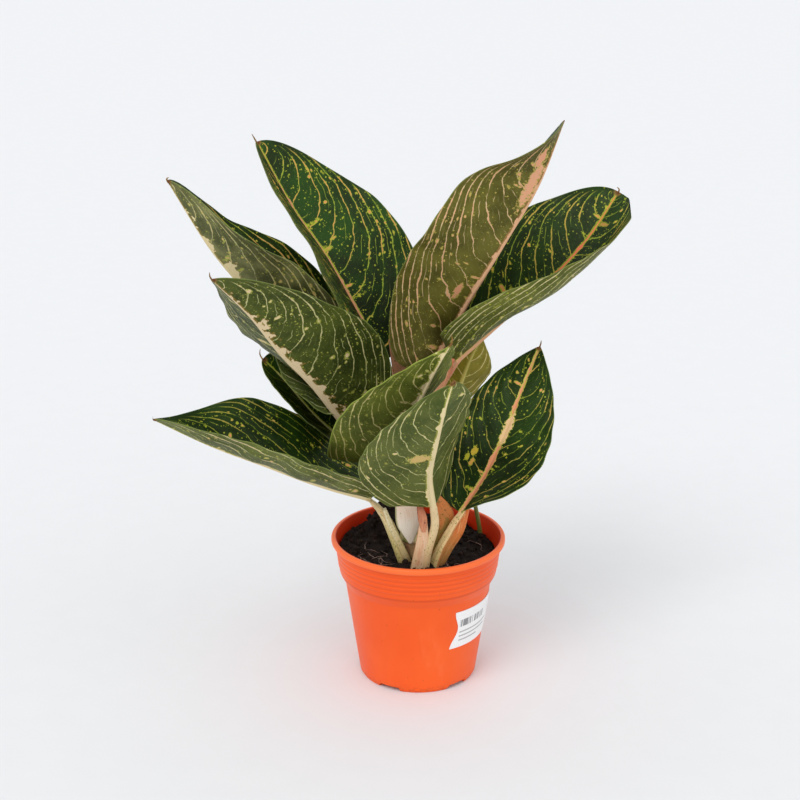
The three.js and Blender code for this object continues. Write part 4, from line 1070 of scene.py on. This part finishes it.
def pot_piece(material):
    profile = pot_profile()
    angle = turn_by(POT_SIDES)
    rings = round_points(profile[:, :1], angle, profile[:, 1:])
    # Notches in the foot ring: its lower edge is lifted over five short arcs.
    turn = (np.degrees(angle) + NOTCH["start"]) % NOTCH["every"]
    turn = np.minimum(turn, NOTCH["every"] - turn)
    notch = smooth(turn, *NOTCH["ends"])[None]
    low = (profile[:, 0] > 40) & (profile[:, 1] < 3.4)
    rings[low, :, 2] = np.maximum(rings[low, :, 2], NOTCH["top"] * np.repeat(notch, low.sum(), 0))
    lip = int(np.argmax(profile[:, 1] + 0.01 * (profile[:, 0] < 62)))
    # Share of the inner wall, which the pot's material paints a darker red as painted shade.
    inner_wall_shade = spread(smooth(np.arange(len(profile)), lip, lip + 4), POT_SIDES)
    pot = loft_piece("pot_look", rings, [("inside", inner_wall_shade)], materials=[material], sharp=50)
    cut_drains(pot)
    finish_piece(pot, "pot", "pot")


def cut_drains(pot):
    """Cuts the drain holes through the pot's floor."""
    low, high, sides = DRAIN["low"], DRAIN["high"], DRAIN["sides"]
    parts = []
    for k in range(DRAIN["count"]):
        a = (k + 0.5) * math.pi / 2
        x, y = DRAIN["away"] * math.cos(a), DRAIN["away"] * math.sin(a)
        rings = [round_points(DRAIN["radius"], turn_by(sides), z) + [x, y, 0] for z in (low, high)]
        parts.append((np.concatenate([*rings, [[x, y, low], [x, y, high]]]), loft_faces(2, sides)))
    cutter = mesh_piece("drain_cutter", *joined(parts))
    change = pot.modifiers.new("drains", "BOOLEAN")
    change.operation, change.object, change.solver = "DIFFERENCE", cutter, "EXACT"
    bpy.context.view_layer.update()
    made = bpy.data.meshes.new_from_object(pot.evaluated_get(bpy.context.evaluated_depsgraph_get()))
    pot.modifiers.clear()
    pot.data = made
    bpy.data.objects.remove(cutter)


def label_piece(material):
    rows, columns = 40, 90
    left, foot = LABEL["left"], LABEL["foot"]
    t = np.linspace(0, 1, rows)
    z = lerp(foot, LABEL["top"], t)
    inset = LABEL["bow"] * np.sin(math.pi * t) ** 2 - LABEL["lean"] * (1 - t) + LABEL["lean"] * t
    middle = pot_radius((foot + LABEL["top"]) / 2)
    starts, ends = left + inset / middle, left + (LABEL["long"] - inset) / middle
    share = np.linspace(0, 1, columns)[None]
    angle = starts[:, None] + (ends - starts)[:, None] * share
    curl = LABEL["curl"] * smooth(share, 0.9, 1.0)
    wall = pot_radius(z)[:, None]
    outer, inner = (round_points(wall + off + curl, angle, z[:, None]) for off in LABEL["sides"])
    across = (angle - left) * middle
    paper = np.stack([across, spread(z - foot, columns), np.zeros_like(across)], -1)
    rings, papers = (np.concatenate([a, b[:, ::-1]], 1) for a, b in ((outer, inner), (paper, paper)))
    piece = loft_piece("label_look", rings, [("paper", papers)], materials=[material], sharp=40)
    finish_piece(piece, "label", "label")


SOIL = dict(edge=58.4, top=101.5, gap=0.3, sides=260, rows=74, levels=(5.9, 40, 75, 83.5))
HEAPS = [(-22, 28, 23, 25), (2, -30, 26, 3), (47, 22, 9, 3)]  # middles, radii and rises
CRUMBS = dict(count=420, reach=57.2, edge=59.6, small=(0.5, 1.5), large=(1.2, 2.6))
ROOTLET = dict(points=5, stride=3.2, edge=57, bend=0.5, stray=0.4, lift=(1.1, 2.0), radius=(0.1, 0.18))
# middles, reaches and counts of the beds of rootlets
ROOTLET_BEDS = [(-36, -34, 15, 15), (-44, -16, 8, 5), (26, -44, 12, 4), (-6, 46, 14, 4), (40, 4, 8, 3)]


def soil_height(x, y):
    lumps = np.sin(x * 0.31) * np.sin(y * 0.27) + np.sin(x * 0.13 - y * 0.19)
    height = SOIL["top"] + 0.65 * lumps - 6 * smooth(x, 25, 60)
    for hx, hy, radius, rise in HEAPS:
        height = height + rise * (1 - smooth(np.hypot(x - hx, y - hy) / radius, 0, 1))
    return height


def soil_piece(material):
    """The soil's body: a plain side that follows the pot's wall, and a rough surface."""
    angle = turn_by(SOIL["sides"])
    rings = [round_points(pot_radius(z) - WALL - SOIL["gap"], angle, z) for z in SOIL["levels"]]
    for share in np.linspace(1, 0.02, SOIL["rows"]):
        flat = round_points(SOIL["edge"] * share, angle, 0.0)
        flat[:, 2] = soil_height(flat[:, 0], flat[:, 1])
        rough = 1.5 * bumps(flat, 9.0) + 0.8 * np.abs(bumps(flat + 50, 3.2)) * 2 - 0.6
        rings.append(flat + rough[:, None] * [0, 0, 1])
    finish_piece(loft_piece("soil_look", np.array(rings), materials=[material]), "soil", "soil")


def crumbs_piece(material):
    """Loose lumps that lie on the soil, thickest round its edge. Every third one is large."""
    parts = []
    for k in range(CRUMBS["count"]):
        a = rng.uniform(0, FULL_TURN)
        reach = CRUMBS["reach"] * rng.uniform(0, 1) ** (0.32 if k % 2 else 0.5)
        x, y = reach * math.cos(a), reach * math.sin(a)
        size = min(rng.uniform(*CRUMBS["small" if k % 3 else "large"]), CRUMBS["edge"] - reach)
        parts.append(lump(np.array([x, y, soil_height(x, y) + 0.3 * size]), size))
    scatter_piece("soil_crumbs", parts, material, "soil")


def lump(centre, size):
    """A small rough lump, eight sided and five rings high."""
    sides, rows = 8, 5
    stretch = rng.uniform(0.7, 1.25, 3) * size
    polar = np.linspace(0.35, math.pi - 0.35, rows)[:, None]
    rings = round_points(np.sin(polar), turn_by(sides), np.cos(polar))
    rings = centre + rings * stretch * rng.uniform(0.75, 1.15, (rows, sides, 1))
    ends = [rings[0].mean(0) + [0, 0, 0.1 * size], rings[-1].mean(0) - [0, 0, 0.1 * size]]
    return np.concatenate([rings.reshape(-1, 3), ends]), loft_faces(rows, sides)


def rootlets_piece(material):
    """Fine pale threads that lie on the soil, in beds."""
    stride, bend, stray = (ROOTLET[key] for key in ("stride", "bend", "stray"))
    parts = []
    for bx, by, reach, count in ROOTLET_BEDS:
        for _ in range(count):
            x, y = bx + rng.uniform(-1, 1) * reach, by + rng.uniform(-1, 1) * reach * 0.6
            turn, curve = rng.uniform(0, FULL_TURN), rng.uniform(-bend, bend)
            path = []
            for _ in range(ROOTLET["points"]):
                if math.hypot(x, y) < ROOTLET["edge"]:
                    path.append([x, y, soil_height(x, y) + rng.uniform(*ROOTLET["lift"])])
                x, y = x + stride * math.cos(turn), y + stride * math.sin(turn)
                turn = turn + curve + rng.uniform(-stray, stray)
            if len(path) > 2:
                parts.append(tube(path, rng.uniform(*ROOTLET["radius"]), sides=6, steps=26, rough=0.05))
    scatter_piece("rootlets", parts, material, "soil")


# ---------- the model ----------

FLOOR = 40.0  # metres from its middle to its edge
CAMERA = dict(lens=77.94, place=(-0.0136, -1.190, 0.633), tilt=70.7)


def dress():
    pot_piece(pot_material())
    label_piece(label_material())
    soil_piece(ground_material("soil_bed", (14, 9, 7), (40, 27, 20)))
    crumbs_piece(ground_material("soil_lumps", (19, 13, 10), (52, 37, 28)))
    rootlets_piece(ground_material("rootlet_skin", (136, 108, 96), (198, 168, 154)))
    crown()
    leaves = [grown(number, own) for number, own in enumerate(LEAVES, 1)]
    threads_piece(leaves, ground_material("dried_thread_skin", (104, 70, 36), (158, 122, 66)))
    for leaf in leaves:
        petiole_piece(leaf)
        blade_piece(leaf)


def stage():
    """A wide paper floor."""
    g = Graph("backdrop_paper")
    g.base(g.noise(g.add("TexCoord", output="Object"), 40.0, 3.0), (228, 230, 232), (231, 233, 235))
    mesh = bpy.data.meshes.new("floor")
    corners = [(FLOOR * x, FLOOR * y, 0) for x, y in ((-1, -1), (1, -1), (1, 1), (-1, 1))]
    mesh.from_pydata(corners, [], [[0, 1, 2, 3]])
    mesh.materials.append(g.finish(Roughness=0.85, Specular_IOR_Level=0.2))
    floor = bpy.data.objects.new("floor", mesh)
    bpy.context.scene.collection.objects.link(floor)


def sun(name, strength, angle, elevation, azimuth):
    """A sun. An azimuth of 0 shines from the front and one of 90 from the right."""
    data = bpy.data.lights.new(name, "SUN")
    data.energy, data.angle = strength, math.radians(angle)
    light = bpy.data.objects.new(name, data)
    light.rotation_euler = (math.radians(90 - elevation), 0, math.radians(azimuth))
    bpy.context.scene.collection.objects.link(light)


def studio():
    """A white world that lights the plant. Past the floor's far edge the camera sees the floor's own tone."""
    world = bpy.data.worlds.new("studio")
    world.use_nodes = True
    tree = world.node_tree
    glow = tree.nodes["Background"]
    glow.inputs["Color"].default_value = (0.99, 0.99, 1.0, 1)
    glow.inputs["Strength"].default_value = 0.85
    backdrop = tree.nodes.new("ShaderNodeBackground")
    backdrop.inputs["Color"].default_value = (0.888, 0.905, 0.928, 1)
    pick = tree.nodes.new("ShaderNodeMixShader")
    tree.links.new(tree.nodes.new("ShaderNodeLightPath").outputs["Is Camera Ray"], pick.inputs["Fac"])
    tree.links.new(glow.outputs["Background"], pick.inputs[1])
    tree.links.new(backdrop.outputs["Background"], pick.inputs[2])
    tree.links.new(pick.outputs["Shader"], tree.nodes["World Output"].inputs["Surface"])
    return world


def light_and_camera():
    scene = bpy.context.scene
    scene.view_settings.view_transform = "Standard"
    scene.world = studio()
    sun("key", 0.95, 30, 50, -30)
    sun("fill", 0.32, 70, 30, 40)
    data = bpy.data.cameras.new("camera")
    data.lens = CAMERA["lens"]
    camera = bpy.data.objects.new("camera", data)
    camera.location = CAMERA["place"]
    camera.rotation_euler = (math.radians(CAMERA["tilt"]), 0, 0)
    scene.collection.objects.link(camera)
    scene.camera = camera


dress()
stage()
light_and_camera()
